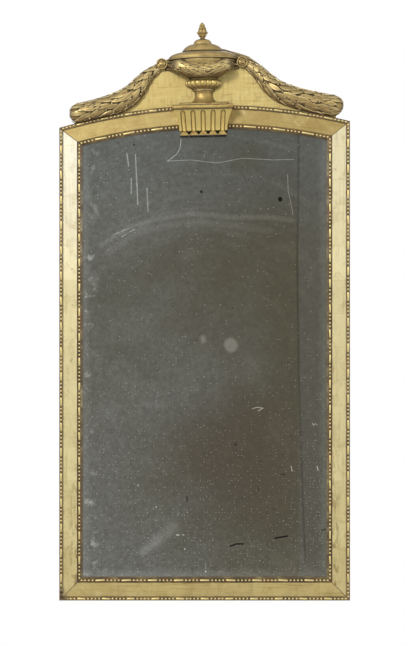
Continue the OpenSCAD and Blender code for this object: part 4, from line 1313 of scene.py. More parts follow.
@dataclass
class BeadStrings:
    """Strings of beads and bars along the outer and the sight edge.

    Attributes:
        bead: Width of a bead and of the string.
        pitch: Distance from bead to bead.
        group: Beads between two bars.
        bar: A bar's length, as near as the run allows.
        thread, thread_step: Half the thickness of the wood between beads, and the length of its pieces.
        outer_u, sight_u, arch_sight_u: How far each string's middle lies inside the frame's edge.
        outer_depth, sight_depth: How far forwards the strings' flat backs are.
        end: What a string's end leaves free at a mitre.
        outer_stop, sight_stop: Where the arch's strings stop beside the keystone.
    """

    maker: Maker
    bead: float = 0.006
    pitch: float = 0.0084
    group: int = 4
    bar: float = 0.022
    thread: float = 0.0011
    thread_step: float = 0.06
    outer_u: float = 0.00425
    sight_u: float = 0.045
    arch_sight_u: float = 0.0462
    outer_depth: float = 0.035
    sight_depth: float = 0.030
    end: float = 0.0021
    outer_stop: float = 0.0690
    sight_stop: float = 0.0561

    def lay(self, run: float) -> list[tuple[float, float]]:
        """Where beads and bars fall on a run.

        Args:
            run: The run's length.

        Returns:
            Middle and length of each, in order.
        """
        group_l = (self.group - 1) * self.pitch + self.bead
        gap = self.pitch - self.bead
        count = max(1, round((run - group_l) / (group_l + 2 * gap + self.bar)))
        bar = (run - group_l) / count - group_l - 2 * gap
        stride = group_l + 2 * gap + bar
        found = []
        for g in range(count + 1):
            found += [(g * stride + self.bead / 2 + i * self.pitch, self.bead) for i in range(self.group)]
            if g < count:
                found.append((g * stride + group_l + gap + bar / 2, bar))
        return found

    def string(self, shape: BMesh, run: float, place: Axes, draw: random.Random) -> None:
        """Adds one string.

        Args:
            shape: The shape that it goes into.
            run: The string's length.
            place: Axes at a distance along it, z along the string and -y forwards.
            draw: Where its small irregularities come from.
        """
        r = self.bead / 2
        for middle, length in self.lay(run):
            axes = place(middle)
            stretch = (length - self.bead) / 2
            fat = draw.uniform(0.93, 1.0)
            tall = draw.uniform(0.90, 1.0)
            skew = Matrix.Rotation(draw.uniform(-0.05, 0.05), 4, "Y")
            pattern = self.bead_mesh if stretch < 0.001 else self.bar_mesh

            def move(p: Vector) -> Vector:
                """Puts a point of the pattern in its bead or bar."""
                along = p.z * r + (0 if abs(p.z) < 1e-6 else math.copysign(stretch, p.z))
                return axes @ (skew @ Vector((p.x * r * fat, p.y * r * tall, along)))

            stamp(shape, pattern, move)
        steps = max(1, round(run / self.thread_step))
        for i in range(steps):
            low, high = place(i * run / steps), place((i + 1) * run / steps)

            def thread(p: Vector) -> Vector:
                """Puts a point of the pattern in the thread."""
                axes = high if p.z > 0 else low
                return axes @ Vector((p.x * self.thread, p.y * self.thread, 0))

            stamp(shape, self.thread_mesh, thread)

    def straight(self, start: Vector, along: Vector) -> Axes:
        """Axes along a straight string.

        Args:
            start: Its first point.
            along: Its direction.

        Returns:
            What gives the axes at a distance along it.
        """
        side = Vector((0, 1, 0)).cross(along)
        turn = Matrix((side, Vector((0, 1, 0)), along)).transposed().to_4x4()
        return lambda s: Matrix.Translation(start + along * s) @ turn

    def arched(self, r: float, start: float, depth: float) -> Axes:
        """Axes along an arched string.

        Args:
            r: Its radius about the arch's centre.
            start: Angle off the crown at which it starts.
            depth: How far forwards it lies.

        Returns:
            What gives the axes at a distance along it.
        """
        return lambda s: DATUM.on_arch(start + s / r, r, depth)

    def reach(self, side: int, u: float) -> float:
        """Angle off the crown of a corner of the string's line."""
        return math.asin((DATUM.corner(side, u).x - DATUM.arch_centre.x) / (DATUM.arch_r - u))

    def build(self, finish: Material) -> None:
        """Makes the eight strings.

        Args:
            finish: Their material.
        """
        self.bead_mesh = half_ball("bead", 10, 6)
        self.bar_mesh = half_ball("bar", 10, 7)
        self.thread_mesh = half_ball("thread", 8, 3)
        self.edge("outer", self.outer_u, self.outer_u, self.outer_depth, self.outer_stop, finish)
        self.edge("sight", self.sight_u, self.arch_sight_u, self.sight_depth, self.sight_stop, finish)

    def edge(self, edge: str, u: float, arch_u: float, depth: float, stop: float, finish: Material) -> None:
        """Makes the four strings of one edge.

        Args:
            edge: The edge's name.
            u: How far their middles lie inside the frame's edge.
            arch_u: The same on the arch.
            depth: How far forwards their flat backs are.
            stop: Where the arch's string stops beside the keystone.
            finish: Their material.
        """
        draw = random.Random(f"{edge} beads")
        low = u + self.end
        for side, name in ((-1, "left"), (1, "right")):
            shape = bmesh.new()
            high = DATUM.corner(side, u).z - self.end
            start = Vector((side * (DATUM.width / 2 - u), -depth, low))
            self.string(shape, high - low, self.straight(start, Vector((0, 0, 1))), draw)
            self.finish(edge, name, name, shape, finish)
        shape = bmesh.new()
        run = DATUM.width - 2 * low
        self.string(shape, run, self.straight(Vector((-run / 2, -depth, u)), Vector((1, 0, 0))), draw)
        self.finish(edge, "bottom", "bottom", shape, finish)
        shape = bmesh.new()
        r = DATUM.arch_r - arch_u
        free = stop + 0.001
        left, right = [math.asin((side * free - Keystone.off) / r) - DATUM.lean for side in (-1, 1)]
        first, last = self.reach(-1, u) + self.end / r, self.reach(1, u) - self.end / r
        for start, end in ((first, left), (right, last)):
            self.string(shape, (end - start) * r, self.arched(r, start, depth), draw)
        self.finish(edge, "arch", "top", shape, finish)

    def finish(self, edge: str, name: str, node: str, shape: BMesh, finish: Material) -> None:
        """Makes a string's shape the piece that stands for its node."""
        self.maker.piece(f"{edge}_string_{name}", shape, finish, CARVED_SLOT, (f"{edge}_bead_{node}",))


@dataclass
class Plate:
    """The mirror plate, its foil and its blocks, and the boards behind them."""

    maker: Maker

    def light_marks(self) -> tuple[Mark, ...]:
        """Scratches, wiped arcs and pale spots."""
        return (
            Mark(((-234, 808), (-170, 849), (-86, 871), (-29, 879), (58, 871),
                  (142, 871), (199, 864)), 1, 10, 0.09),
            Mark(((-220, 792), (-159, 833), (-79, 851), (-22, 860), (69, 851), (149, 839)), 1, 14, 0.06),
            Mark(((-210, 830), (-153, 853)), 0.3, 1, 0.45, 90.0),
            Mark(((-200, 819), (-159, 844)), 0.3, 1, 0.4, 90.0),
            Mark(((-53.4, 1050), (-56.1, 1027), (-64.8, 1013), (-84.6, 998.5)), 0.2, 1, 0.42),
            Mark(((-84.6, 998.5), (-31, 1001), (29, 994), (86, 1005),
                  (155, 1001), (203, 1002)), 0.2, 0.9, 0.34),
            Mark(((189, 967), (190, 931), (197, 899), (201, 876)), 0.2, 0.9, 0.34),
            Mark(((-177, 1016), (-173, 988)), 0.5, 1.8, 0.3),
            Mark(((-167, 959), (-167, 925)), 0.5, 1.8, 0.26),
            Mark(((-157.5, 1013), (-152, 900)), 0.5, 1.8, 0.3),
            Mark(((-131, 936), (-129, 885)), 0.5, 1.8, 0.28),
            Mark(((-4, 596), (-3, 590)), 2, 9, 0.18),
            Mark(((59, 581), (61, 578)), 10, 10, 0.2),
            Mark(((109, 435), (119, 438), (133, 436), (122, 430)), 0.4, 1.1, 0.5),
            Mark(((197, 304), (199, 293)), 0.5, 1.1, 0.5),
            Mark(((256, 304), (258, 295)), 0.6, 1.3, 0.5),
            Mark(((2, 85), (2.4, 68)), 0.5, 1.3, 0.16),
            Mark(((2.6, 64.5), (2.7, 64)), 1, 1.2, 0.7),
            Mark(((-68, 147), (-48, 148)), 0.9, 1.2, 0.6, 200.0),
            Mark(((-45.4, 115.6), (-45.4, 115.2)), 0.9, 1.1, 0.6),
            Mark(((-151.1, 259.8), (-151.1, 259.4)), 1, 1.2, 0.45),
            Mark(((-110.1, 211.5), (-110.1, 211.1)), 0.9, 1.2, 0.45),
            Mark(((245, 402), (248, 397), (251, 401), (256, 398)), 0.4, 1.1, 0.42),
            Mark(((272, 620), (272, 400), (273, 250)), 1, 5, 0.1),
            Mark(((-140, 109), (-104, 134)), 1, 14, 0.13),
            Mark(((-122, 124), (-70, 165)), 1, 24, 0.1),
        )

    def dark_marks(self) -> tuple[Mark, ...]:
        """Spots and scratches through the silvering, an upright dark line of painted reflection, and painted
        shadow behind the drops.
        """
        return (
            # painted reflection: an upright dark line, a room's edge mirrored in the plate
            Mark(((214.3, 1056), (212.7, 876), (210.4, 773), (215, 500),
                  (220, 329), (228.7, 85)), 0.9, 2.8, 0.29),
            Mark(((-74, 209.5), (-72.4, 209.5)), 1.4, 1.2, 0.6, 220.0),
            # painted shadow on the plate behind the drops
            Mark(((-46.2, 1065), (47.8, 1067.2)), 4.6, 1, 0.97),
            Mark(((171.7, 912), (172, 911)), 4.2, 1.6, 0.95),
            Mark(((-8, 929), (-7, 928)), 2, 1.4, 0.9),
            Mark(((-161, 1036), (-160, 1035)), 1.4, 1.2, 0.8),
            Mark(((-168, 315), (-167, 309)), 1.2, 1.2, 0.7, 120.0),
            Mark(((-40.2, 235), (-40.2, 224)), 0.8, 1.2, 0.7),
            Mark(((59, 122.5), (73, 127), (87.4, 127)), 1.2, 1.4, 0.95),
            Mark(((160, 140), (188, 145)), 1.3, 1.2, 0.95),
            Mark(((155, 208), (160, 205)), 1.6, 1.2, 0.8, 160.0),
            Mark(((121.6, 265), (121.6, 249)), 0.7, 1.2, 0.8, 160.0),
            Mark(((174, 285), (182, 285)), 0.6, 1.2, 0.8),
            Mark(((122, 314), (132, 315)), 0.5, 1.2, 0.5),
            Mark(((70.3, 354), (71.3, 353)), 2, 1.6, 0.6),
            Mark(((266, 158), (277, 161)), 0.7, 1.2, 0.8),
        )

    def build(self) -> None:
        """Dresses plate, foil, blocks and back."""
        dress = self.maker.dress
        dress(OldPlate(light=self.light_marks(), dark=self.dark_marks()).build(), "mirror_glass")
        dress(TinFoil().build(), "tin_foil")
        pines = {"lower": (0.30, 0.175, 0.075), "middle": (0.37, 0.215, 0.092), "upper": (0.25, 0.150, 0.068)}
        for node, pale in pines.items():
            dress(OldPine(name=f"pine_{node}", pale=pale).build(), f"backboard_{node}")
        dress(OldPine("pine_upright", UP_GRAIN).build(), "crest_battens")
        dress(OldPine("pine_small", SMALL_GRAIN).build(), "glazing_blocks", "corner_keys")
        dress(ForgedIron().build(), "backboard_nails", "batten_screws", "hanger_screws",
              "left_hanger", "right_hanger")


@dataclass
class Garland:
    """A garland of laid laurel leaves and berries, from its ring to its rounded end.

    Attributes:
        side: -1 for the left garland, 1 for the right one.
        ring_seat, height: Height above the board at the ring, and further out.
        end_width, width: Width at the ring, and further out.
        start: Where the core begins along the middle line.
        leaf, leaf_half, berry: A leaf's length and half its width, and a berry's radius.
        row, across: Distance from row to row, and leaves in a row, one more in every other row.
        round_l: Length of the rounded end.
        steps: Parts that the middle line is measured in.
    """

    maker: Maker
    side: int
    ring_seat: float = 0.008
    height: float = 0.026
    width: float = 0.050
    end_width: float = 0.016
    start: float = 0.0075
    leaf: float = 0.044
    leaf_half: float = 0.0082
    row: float = 0.0150
    across: int = 4
    berry: float = 0.0022
    round_l: float = 0.024
    steps: int = 60

    def __post_init__(self) -> None:
        """Measures the middle line."""
        end = (0.306, -0.0165) if self.side < 0 else (0.316, -0.011)
        start = (0.097, 0.090) if self.side < 0 else (0.092, 0.096)
        self.line = [Vector(p) for p in (start, (0.178, 0.046), (0.110, end[1] + 0.036), end)]
        points = [bezier(self.line, i / self.steps) for i in range(self.steps + 1)]
        self.table = [0.0]
        for a, b in zip(points, points[1:]):
            self.table.append(self.table[-1] + (b - a).length)
        self.length = self.table[-1]

    def at(self, s: float) -> Vector:
        """The middle line's point at a distance along it.

        Args:
            s: The distance.

        Returns:
            The point, on the crest's axes.
        """
        s = max(0.0, min(self.length, s))
        i = next((k for k in range(1, len(self.table)) if self.table[k] >= s), self.steps)
        share = (s - self.table[i - 1]) / (self.table[i] - self.table[i - 1])
        return bezier(self.line, (i - 1 + share) / self.steps)

    def out(self, s: float) -> Vector:
        """Direction away from the arch at distance s."""
        run = (self.at(s + 0.001) - self.at(s - 0.001)).normalized()
        return Vector((-run.y, run.x))

    def half(self, s: float) -> float:
        """Half the garland's width at distance s."""
        grown = math.sin(math.pi / 2 * smooth(s / self.length * 1.5 + 0.08))
        return self.end_width / 2 + (self.width - self.end_width) / 2 * grown

    def rise(self, s: float) -> float:
        """The garland's height above the board at distance s."""
        return self.ring_seat + (self.height - self.ring_seat) * smooth(s / self.length * 2.2)

    def point(self, s: float, a: float, lift: float) -> Vector:
        """A point of the garland.

        Args:
            s: Distance along the middle line.
            a: Angle across it, 0 on the outer side and pi on the side of the arch.
            lift: Height above the core.

        Returns:
            The point, in the part's frame.
        """
        over = max(0.0, (s - self.length + self.round_l) / self.round_l)
        end = math.sqrt(max(0.02, 1 - min(1.0, over) ** 2))
        half, rise = self.half(s), self.rise(s)
        k = 0.82 * end + lift / max(0.006, math.hypot(half * math.cos(a), rise * math.sin(a)))
        flat = self.at(s) + self.out(s) * math.cos(a) * half * k
        centre = Vector((flat.x, flat.y + DATUM.arch_r))
        low = DATUM.arch_r + 0.0003
        if centre.length < low:
            flat = centre.normalized() * low - Vector((0, DATUM.arch_r))
        depth = DATUM.crest_front + DATUM.glue + max(0.0, rise * math.sin(a) * k)
        return DATUM.crest @ Vector((self.side * flat.x, -depth, flat.y))

    def core(self, shape: BMesh) -> None:
        """Adds the rounded body that the leaves lie on.

        Args:
            shape: The shape that it goes into.
        """
        made = bmesh.ops.create_grid(shape, x_segments=70, y_segments=12, size=1.0)["verts"]
        span = self.length - self.start
        for vertex in made:
            s = self.start + (vertex.co.x + 1) / 2 * span
            vertex.co = self.point(s, (vertex.co.y + 1) / 2 * math.pi, 0.0)
        close(shape)

    def lay_leaf(self, shape: BMesh, blank: Mesh, s: float, a: float, length: float,
                 half: float, swing: float) -> None:
        """Lays one leaf.

        Args:
            shape: The shape that it goes into.
            blank: The ball that it is shaped from.
            s: Where its stalk is along the garland.
            a: Angle across at which it lies.
            length: Its length.
            half: Half its width.
            swing: How far its tip swings across, as a share of its length.
        """
        girth = math.sqrt((self.half(s) ** 2 + self.rise(s) ** 2) / 2)

        def move(p: Vector) -> Vector:
            """Puts a point of the blank in the leaf.

            Args:
                p: The point.

            Returns:
                Its place.
            """
            t, wide, thick = laurel(p, 0.0042, 0.002, 0.72, 1.0)
            angle = held(a + (half * wide + swing * length * t * t) / girth, 0.02)
            return self.point(s + length * t, angle, 0.0004 + thick + 0.0032 * t * t)

        stamp(shape, blank, move)

    def build(self, finish: Material) -> None:
        """Makes the garland.

        Args:
            finish: Its material.
        """
        name = "left" if self.side < 0 else "right"
        draw = random.Random(f"{name} garland")
        shape = bmesh.new()
        self.core(shape)
        leaf, seed = ball("leaf", 8, 8), ball("berry", 8, 6)
        rows = int((self.length - self.start - 0.6 * self.leaf) / self.row)
        for row in range(rows + 1):
            s = self.start - 0.004 + row * self.row
            self.leaf_row(shape, leaf, s, row % 2, draw)
            self.berry_row(shape, seed, s, row % 2, draw)
        self.maker.piece(f"{name}_garland_carving", shape, finish, CARVED_SLOT, (f"{name}_garland",), 50.0)

    def leaf_row(self, shape: BMesh, leaf: Mesh, s: float, odd: int, draw: random.Random) -> None:
        """Lays the leaves of a row.

        Args:
            shape: The shape that they go into.
            leaf: The ball that they are shaped from.
            s: Where the row is along the garland.
            odd: 1 for every other row, else 0.
            draw: Where their irregularities come from.
        """
        for k in range(self.across + odd):
            a = held(math.pi * (k + (0.0 if odd else 0.5)) / self.across, 0.16)
            size = draw.uniform(0.82, 1.10) * (0.6 + 0.4 * smooth(s / 0.09))
            swing = -0.06 * math.cos(a) + draw.uniform(-0.17, 0.17)
            stalk, turned = s + draw.uniform(-0.005, 0.005), a + draw.uniform(-0.1, 0.1)
            half = self.leaf_half * size * draw.uniform(0.9, 1.15)
            self.lay_leaf(shape, leaf, stalk, turned, self.leaf * size, half, swing)

    def berry_row(self, shape: BMesh, seed: Mesh, s: float, odd: int, draw: random.Random) -> None:
        """Strews the berries of a row.

        Args:
            shape: The shape that they go into.
            seed: The ball that they are.
            s: Where the row is along the garland.
            odd: 1 for every other row, else 0.
            draw: Where their places come from.
        """
        for k in range(self.across):
            if draw.random() < 0.62:
                continue
            a = math.pi * (k + (0.5 if odd else 1.0)) / self.across
            where = s + self.row * draw.uniform(0.9, 1.4)
            if 0.2 < a < math.pi - 0.2 and where < self.length - 0.012:
                centre = self.point(where, a, 0.0045)
                r = self.berry * draw.uniform(0.8, 1.15)
                stamp(shape, seed, lambda p: centre + p * r)


@dataclass
class Swag:
    """The thin laurel swag across the urn's bowl, its leaves laid towards the middle.

    Attributes:
        reach_u, right_less: Distance from the middle to the left end, and how much nearer the right end is.
        low, bow: Height of the lowest point above the crown, and how much higher the ends are.
        ring_seat, height: Height above what it lies on, at the rings and in the middle.
        end_half, half_w: Half its width at the rings and in the middle.
        relief: Depth of the bowl under it, as a share of the bowl's radius.
        under_ring: Share of the reach that a ring covers.
        rows, row: Rows of leaves on each side, and their distance as a share of the reach.
        leaf, berry: A leaf's length, and a berry's radius.
    """

    maker: Maker
    reach_u: float = 0.086
    right_less: float = 0.005
    low: float = 0.0755
    bow: float = 0.0169
    height: float = 0.012
    ring_seat: float = 0.008
    half_w: float = 0.0125
    end_half: float = 0.010
    relief: float = 0.6
    under_ring: float = 0.0744
    rows: int = 9
    row: float = 0.112
    leaf: float = 0.029
    berry: float = 0.0017

    def half(self, x: float) -> float:
        """Half the swag's width at a share x of its reach."""
        return self.end_half + (self.half_w - self.end_half) * smooth((1 - abs(x)) * 1.8)

    def point(self, x: float, a: float, lift: float) -> Vector:
        """A point of the swag.

        Args:
            x: Place along it, from -1 to 1.
            a: Angle across it, 0 above and pi below.
            lift: Height above the core.

        Returns:
            The point, in the part's frame.
        """
        reach = self.reach_u - (self.right_less if x > 0 else 0)
        middle = Vector((x * reach, self.low + self.bow * (1 - math.cos(math.pi * x)) / 2))
        run = Vector((1, self.bow * math.pi / 2 * math.sin(math.pi * x) / self.reach_u)).normalized()
        out = Vector((-run.y, run.x))
        inside = max(0.0, 1 - abs(x) - self.under_ring)
        height = self.ring_seat + (self.height - self.ring_seat) * smooth(inside * 3)
        bowl = Urn.bowl_radius(middle.y)
        rounded = math.sqrt(max(0, 1 - (middle.x / (bowl + 0.022)) ** 2))
        base = DATUM.crest_front + self.relief * (bowl + 0.003) * rounded * smooth(inside * 4)
        p = middle + out * (self.half(x) + lift * 0.5) * math.cos(a)
        back = Urn.bowl_radius(p.y) + 0.002
        behind = DATUM.crest_front + self.relief * math.sqrt(max(0.0, back * back - p.x * p.x))
        depth = max(base + (height * 0.70 + lift) * math.sin(a), behind + 0.002 * math.sin(a))
        return DATUM.crest @ Vector((p.x, -depth, p.y))

    def lay_leaf(self, shape: BMesh, blank: Mesh, side: int, x: float, a: float,
                 draw: random.Random) -> None:
        """Lays one leaf.

        Args:
            shape: The shape that it goes into.
            blank: The ball that it is shaped from.
            side: -1 left of the middle, 1 right of it.
            x: Where its stalk is along the swag.
            a: Angle across at which it lies.
            draw: Where its irregularities come from.
        """
        length = self.leaf * draw.uniform(0.9, 1.1) / self.reach_u
        swing = draw.uniform(-0.15, 0.15) - 0.30 * math.cos(a)

        def move(p: Vector) -> Vector:
            """Puts a point of the blank in the leaf.

            Args:
                p: The point.

            Returns:
                Its place.
            """
            t, wide, thick = laurel(p, 0.0030, 0.0014, 0.7, 0.85)
            angle = held(a + wide * 0.36 + swing * t * t, 0.05)
            return self.point(x - side * length * t, angle, 0.0004 + thick + 0.0022 * t * t)

        stamp(shape, blank, move)

    def build(self, finish: Material) -> None:
        """Makes the swag.

        Args:
            finish: Its material.
        """
        draw = random.Random("swag")
        shape = bmesh.new()
        for vertex in bmesh.ops.create_grid(shape, x_segments=48, y_segments=10, size=1.0)["verts"]:
            vertex.co = self.point(vertex.co.x, (1 - vertex.co.y) / 2 * math.pi, 0.0)
        bmesh.ops.solidify(shape, geom=shape.faces[:], thickness=0.0015)
        leaf, seed = ball("swag_leaf", 8, 7), ball("swag_berry", 8, 6)
        for side in (-1, 1):
            for row in range(self.rows):
                for k in range(3 + row % 2):
                    a = math.pi * (k + (0.75 if row % 2 == 0 else 0.25)) / 3.5
                    self.lay_leaf(shape, leaf, side, side * (0.99 - row * self.row), a, draw)
                centre = self.point(side * (0.93 - row * self.row), math.pi * draw.uniform(0.3, 0.7), 0.0035)
                stamp(shape, seed, lambda p: centre + p * self.berry)
        self.maker.piece("swag_carving", shape, finish, CARVED_SLOT, ("centre_swag",), 50.0)


@dataclass
class Rings:
    """The two carved rings that garlands and swag hang from, each filled with leaves.

    Attributes:
        us: How far each ring is from the crest's middle, the left one first.
        up: Their height above the crown.
        radius: Radius of a ring's middle line.
        wire: Half the ring's thickness.
        depth: How far forwards they are.
        fans: Angle, start and height of each leaf.
    """

    maker: Maker
    us: tuple[float, float] = (0.0935, 0.0885)
    up: float = 0.096
    radius: float = 0.0112
    wire: float = 0.0015
    depth: float = 0.0400
    fans: tuple[tuple[float, float, float], ...] = (
        (-0.50, -0.006, -0.0004), (0.42, -0.006, -0.0002), (-0.04, -0.007, 0.0010),
        (2.6, -0.003, -0.0012), (3.6, -0.002, -0.0010))

    def hoop(self, draw: random.Random) -> BMesh:
        """A ring that lies flat, a little out of round.

        Args:
            draw: Where its irregularity comes from.

        Returns:
            Its shape.
        """
        shape = bmesh.new()
        made = bmesh.ops.create_circle(shape, cap_ends=False, segments=12, radius=self.wire)["verts"]
        upright = Matrix.Rotation(math.pi / 2, 3, "X")
        bmesh.ops.rotate(shape, verts=made, cent=(0, 0, 0), matrix=upright)
        bmesh.ops.translate(shape, verts=made, vec=(self.radius, 0, 0))
        bmesh.ops.spin(shape, geom=shape.verts[:] + shape.edges[:], cent=(0, 0, 0), axis=(0, 0, 1),
                       dvec=(0, 0, 0), angle=2 * math.pi, steps=40, use_merge=True)
        phase = draw.uniform(0, 6.28)
        for vertex in shape.verts:
            around = math.atan2(vertex.co.y, vertex.co.x)
            vertex.co *= 1 + 0.02 * math.sin(3 * around + phase)
        return shape

    def fill(self, shape: BMesh, side: int, draw: random.Random) -> None:
        """Fills a ring with a thin seat and leaves that point outwards.

        Args:
            shape: The ring.
            side: -1 for the left ring, 1 for the right one.
            draw: Where the leaves' sizes come from.
        """
        seat = Vector((0.0106, 0.0106, 0.0014))
        stamp(shape, ball("ring_seat", 24, 8), lambda p: p * seat + Vector((0, 0, -0.0016)))
        leaf = ball("knot_leaf", 8, 6)
        outwards = math.pi if side > 0 else 0.0
        for fan, start, up in self.fans:
            way = Matrix.Rotation(outwards - fan * side, 4, "Z")
            grown = Vector((draw.uniform(0.0078, 0.0088), draw.uniform(0.0036, 0.0042), 0.0016))

            def move(p: Vector) -> Vector:
                """Puts a point of the ball in the leaf."""
                along = start + grown.x + p.x * grown.x
                return way @ Vector((along, p.y * grown.y * (1 - 0.25 * p.x), p.z * grown.z + up))

            stamp(shape, leaf, move)

    def build(self, finish: Material) -> None:
        """Makes both rings.

        Args:
            finish: Their material.
        """
        for side, name, u in ((-1, "left", self.us[0]), (1, "right", self.us[1])):
            draw = random.Random(f"{name} ring")
            shape = self.hoop(draw)
            self.fill(shape, side, draw)
            place = DATUM.crest @ Matrix.Translation((side * u, -self.depth, self.up))
            place = place @ Matrix.Rotation(math.pi / 2, 4, "X")
            bmesh.ops.transform(shape, matrix=place, verts=shape.verts)
            self.maker.piece(f"{name}_ring_carving", shape, finish, CARVED_SLOT, (f"{name}_ring",))


BOWL_SIDE = [(0.0315, 0.062), (0.0455, 0.070), (0.072, 0.083), (0.072, 0.103)]


@dataclass
class Urn:
    """The urn in half relief: lid, bowl, gadrooned cup and foot, and the bud on its lid.

    Attributes:
        relief: Its depth as a share of its radius.
        gadroons: Lobes round the half of the cup.
        cut: Depth of the cuts between them.
        lid_top: Height of the lid's top above the crown.
        bud_depth: How far forwards the bud's axis is.
    """

    maker: Maker
    relief: float = 0.6
    gadroons: int = 9
    cut: float = 0.0042
    lid_top: float = 0.1515
    bud_depth: float = 0.0352

    @staticmethod
    def bowl_radius(w: float) -> float:
        """Radius of the bowl's side.

        Args:
            w: Height above the crown.

        Returns:
            The radius.
        """
        side = curve(BOWL_SIDE, 10)
        for (r0, w0), (r1, w1) in zip(side, side[1:]):
            if w <= w1:
                return r0 + (r1 - r0) * max(0.0, (w - w0) / (w1 - w0))
        return side[-1][0]

    def set_up(self, shape: BMesh) -> BMesh:
        """Moves a shape from the crest's axes to the front of the crest board.

        Args:
            shape: The shape.

        Returns:
            The same shape.
        """
        move = DATUM.crest @ Matrix.Translation((0, -DATUM.crest_front - DATUM.glue, 0))
        bmesh.ops.transform(shape, matrix=move, verts=shape.verts)
        return shape

    def lid(self) -> BMesh:
        """The domed lid with its rim, and its stepped top."""
        profile = [(0, 0.1031), (0.0745, 0.1031), (0.0783, 0.1038), (0.0790, 0.1050), (0.0783, 0.1062),
                   (0.0772, 0.1067), (0.0770, 0.1074)]
        profile += curve([(0.0778, 0.1080), (0.0775, 0.1125), (0.068, 0.1195), (0.0455, 0.1212)], 12)
        profile += [(0.0438, 0.1214), (0.0434, 0.1224), (0.0460, 0.1229), (0.0467, 0.1238), (0.0460, 0.1249)]
        profile += curve([(0.0455, 0.1255), (0.0430, 0.1300), (0.0340, 0.1385), (0.0236, 0.1392)], 10)
        profile += [(0.0214, 0.1393), (0.0209, 0.1400)]
        profile += curve([(0.0209, 0.1403), (0.0195, 0.1458), (0.0168, 0.1500), (0.0085, 0.1511)], 8)
        profile += [(0.0080, 0.1514), (0, 0.1515)]
        return self.set_up(spun(profile, self.relief, 72))

    def bowl(self) -> BMesh:
        """The bowl behind the swag."""
        foot, rim = BOWL_SIDE[0][1], BOWL_SIDE[-1][1]
        return self.set_up(spun([(0, foot)] + curve(BOWL_SIDE, 12) + [(0, rim)], self.relief, 64))

    def cup(self) -> BMesh:
        """The cup, its belly cut into gadroons under a rolled collar."""
        side = curve([(0.0325, 0.058), (0.046, 0.056), (0.047, 0.044), (0.027, 0.038)], 14)
        profile = [(0, 0.0619), (0.0300, 0.0619), (0.0325, 0.0612), (0.0330, 0.0600), (0.0315, 0.0588)]
        profile = (profile + side + [(0.025, 0.0352), (0, 0.035)])[::-1]
        shape = spun(profile, 1.0, self.gadroons * 14)
        for vertex in shape.verts:
            r = math.hypot(vertex.co.x, vertex.co.y)
            share = smooth((0.0585 - vertex.co.z) / 0.003) * smooth((vertex.co.z - 0.0365) / 0.004)
            if r > 0.02 and share > 0:
                a = math.atan2(-vertex.co.y, vertex.co.x)
                fall = (1 - abs(math.sin(a * self.gadroons))) ** 2.2
                less = 1 - self.cut * share * fall / r
                vertex.co.x *= less
                vertex.co.y *= less
        bmesh.ops.scale(shape, vec=(1, self.relief, 1), verts=shape.verts)
        return self.set_up(shape)

    def foot(self) -> BMesh:
        """The waisted foot."""
        profile = [(0, 0.0039), (0.0303, 0.0039), (0.0310, 0.0046), (0.0308, 0.0062)]
        profile += curve([(0.0295, 0.0068), (0.0240, 0.0118), (0.0205, 0.0168), (0.0200, 0.0220)], 9)
        profile += [(0.0202, 0.0268), (0.0210, 0.0274), (0.0214, 0.0281), (0.0208, 0.0288)]
        profile += curve([(0.0202, 0.0292), (0.020, 0.0315), (0.022, 0.033), (0.0258, 0.0336)], 5)
        profile += [(0.0258, 0.0349), (0, 0.0349)]
        return self.set_up(spun(profile, self.relief, 56))

    def bud(self) -> BMesh:
        """The bud of the finial: a leafy cup under a pointed flame."""
        top = self.lid_top
        profile = [(0, -0.014), (0.003, -0.014), (0.003, 0.0001), (0.0054, 0.0001), (0.0058, 0.0008),
                   (0.0048, 0.0020)]
        profile += curve([(0.0050, 0.0026), (0.0100, 0.0045), (0.0085, 0.0090), (0.0122, 0.0122)], 8)
        profile += [(0.0130, 0.0140), (0.0126, 0.0150), (0.0100, 0.0158)]
        profile += curve([(0.0102, 0.0175), (0.0096, 0.0250), (0.0060, 0.0320), (0.0022, 0.0358)], 28)
        profile += [(0.0012, 0.0364), (0, 0.0366)]
        shape = spun([(r, top + above) for r, above in profile], 1.0, 60, 2 * math.pi)
        for vertex in shape.verts:
            r = math.hypot(vertex.co.x, vertex.co.y)
            above = vertex.co.z - top
            if r > 0.001 and above > 0.0030:
                less = self.bud_cut(math.atan2(vertex.co.y, vertex.co.x) + 0.5, above)
                vertex.co.x *= less
                vertex.co.y *= less
        place = DATUM.crest @ Matrix.Translation((0, -self.bud_depth, 0))
        bmesh.ops.transform(shape, matrix=place, verts=shape.verts)
        return shape

    @staticmethod
    def bud_cut(a: float, above: float) -> float:
        """What is left of the bud's radius between its leaves and scales.

        Args:
            a: Angle about its axis.
            above: Height above the lid.

        Returns:
            Share of the radius.
        """
        cup_top, scale_l = 0.0155, 0.0068
        if above < cup_top:
            return 1 - 0.26 * (1 - abs(math.sin(a * 3))) ** 1.3 * smooth((above - 0.003) / 0.004)
        ring = (above - cup_top) / scale_l
        half = 0.5 * (int(ring) % 2)
        scale = abs(math.sin(math.pi * (a / math.pi * 3 + half)))
        return 1 - 0.24 * (1 - scale) ** 1.2 - 0.15 * smooth((ring % 1 - 0.25) / 0.75)

    def build(self, finish: Material) -> None:
        """Makes the urn.

        Args:
            finish: Its material.
        """
        dull = CarvedGilding("gilding_lid", 0.75, dull=0.45).build()
        bright = CarvedGilding("gilding_cup", 0.30).build()
        for name, shape, node, dress in (("lid", self.lid(), "urn_lid", dull),
                                         ("bowl", self.bowl(), "urn_bowl", dull),
                                         ("cup", self.cup(), "gadroon_cup", bright),
                                         ("foot", self.foot(), "urn_foot", finish),
                                         ("bud", self.bud(), "finial", finish)):
            self.maker.piece(f"{name}_carving", shape, dress, CARVED_SLOT, (node,), 32.0)


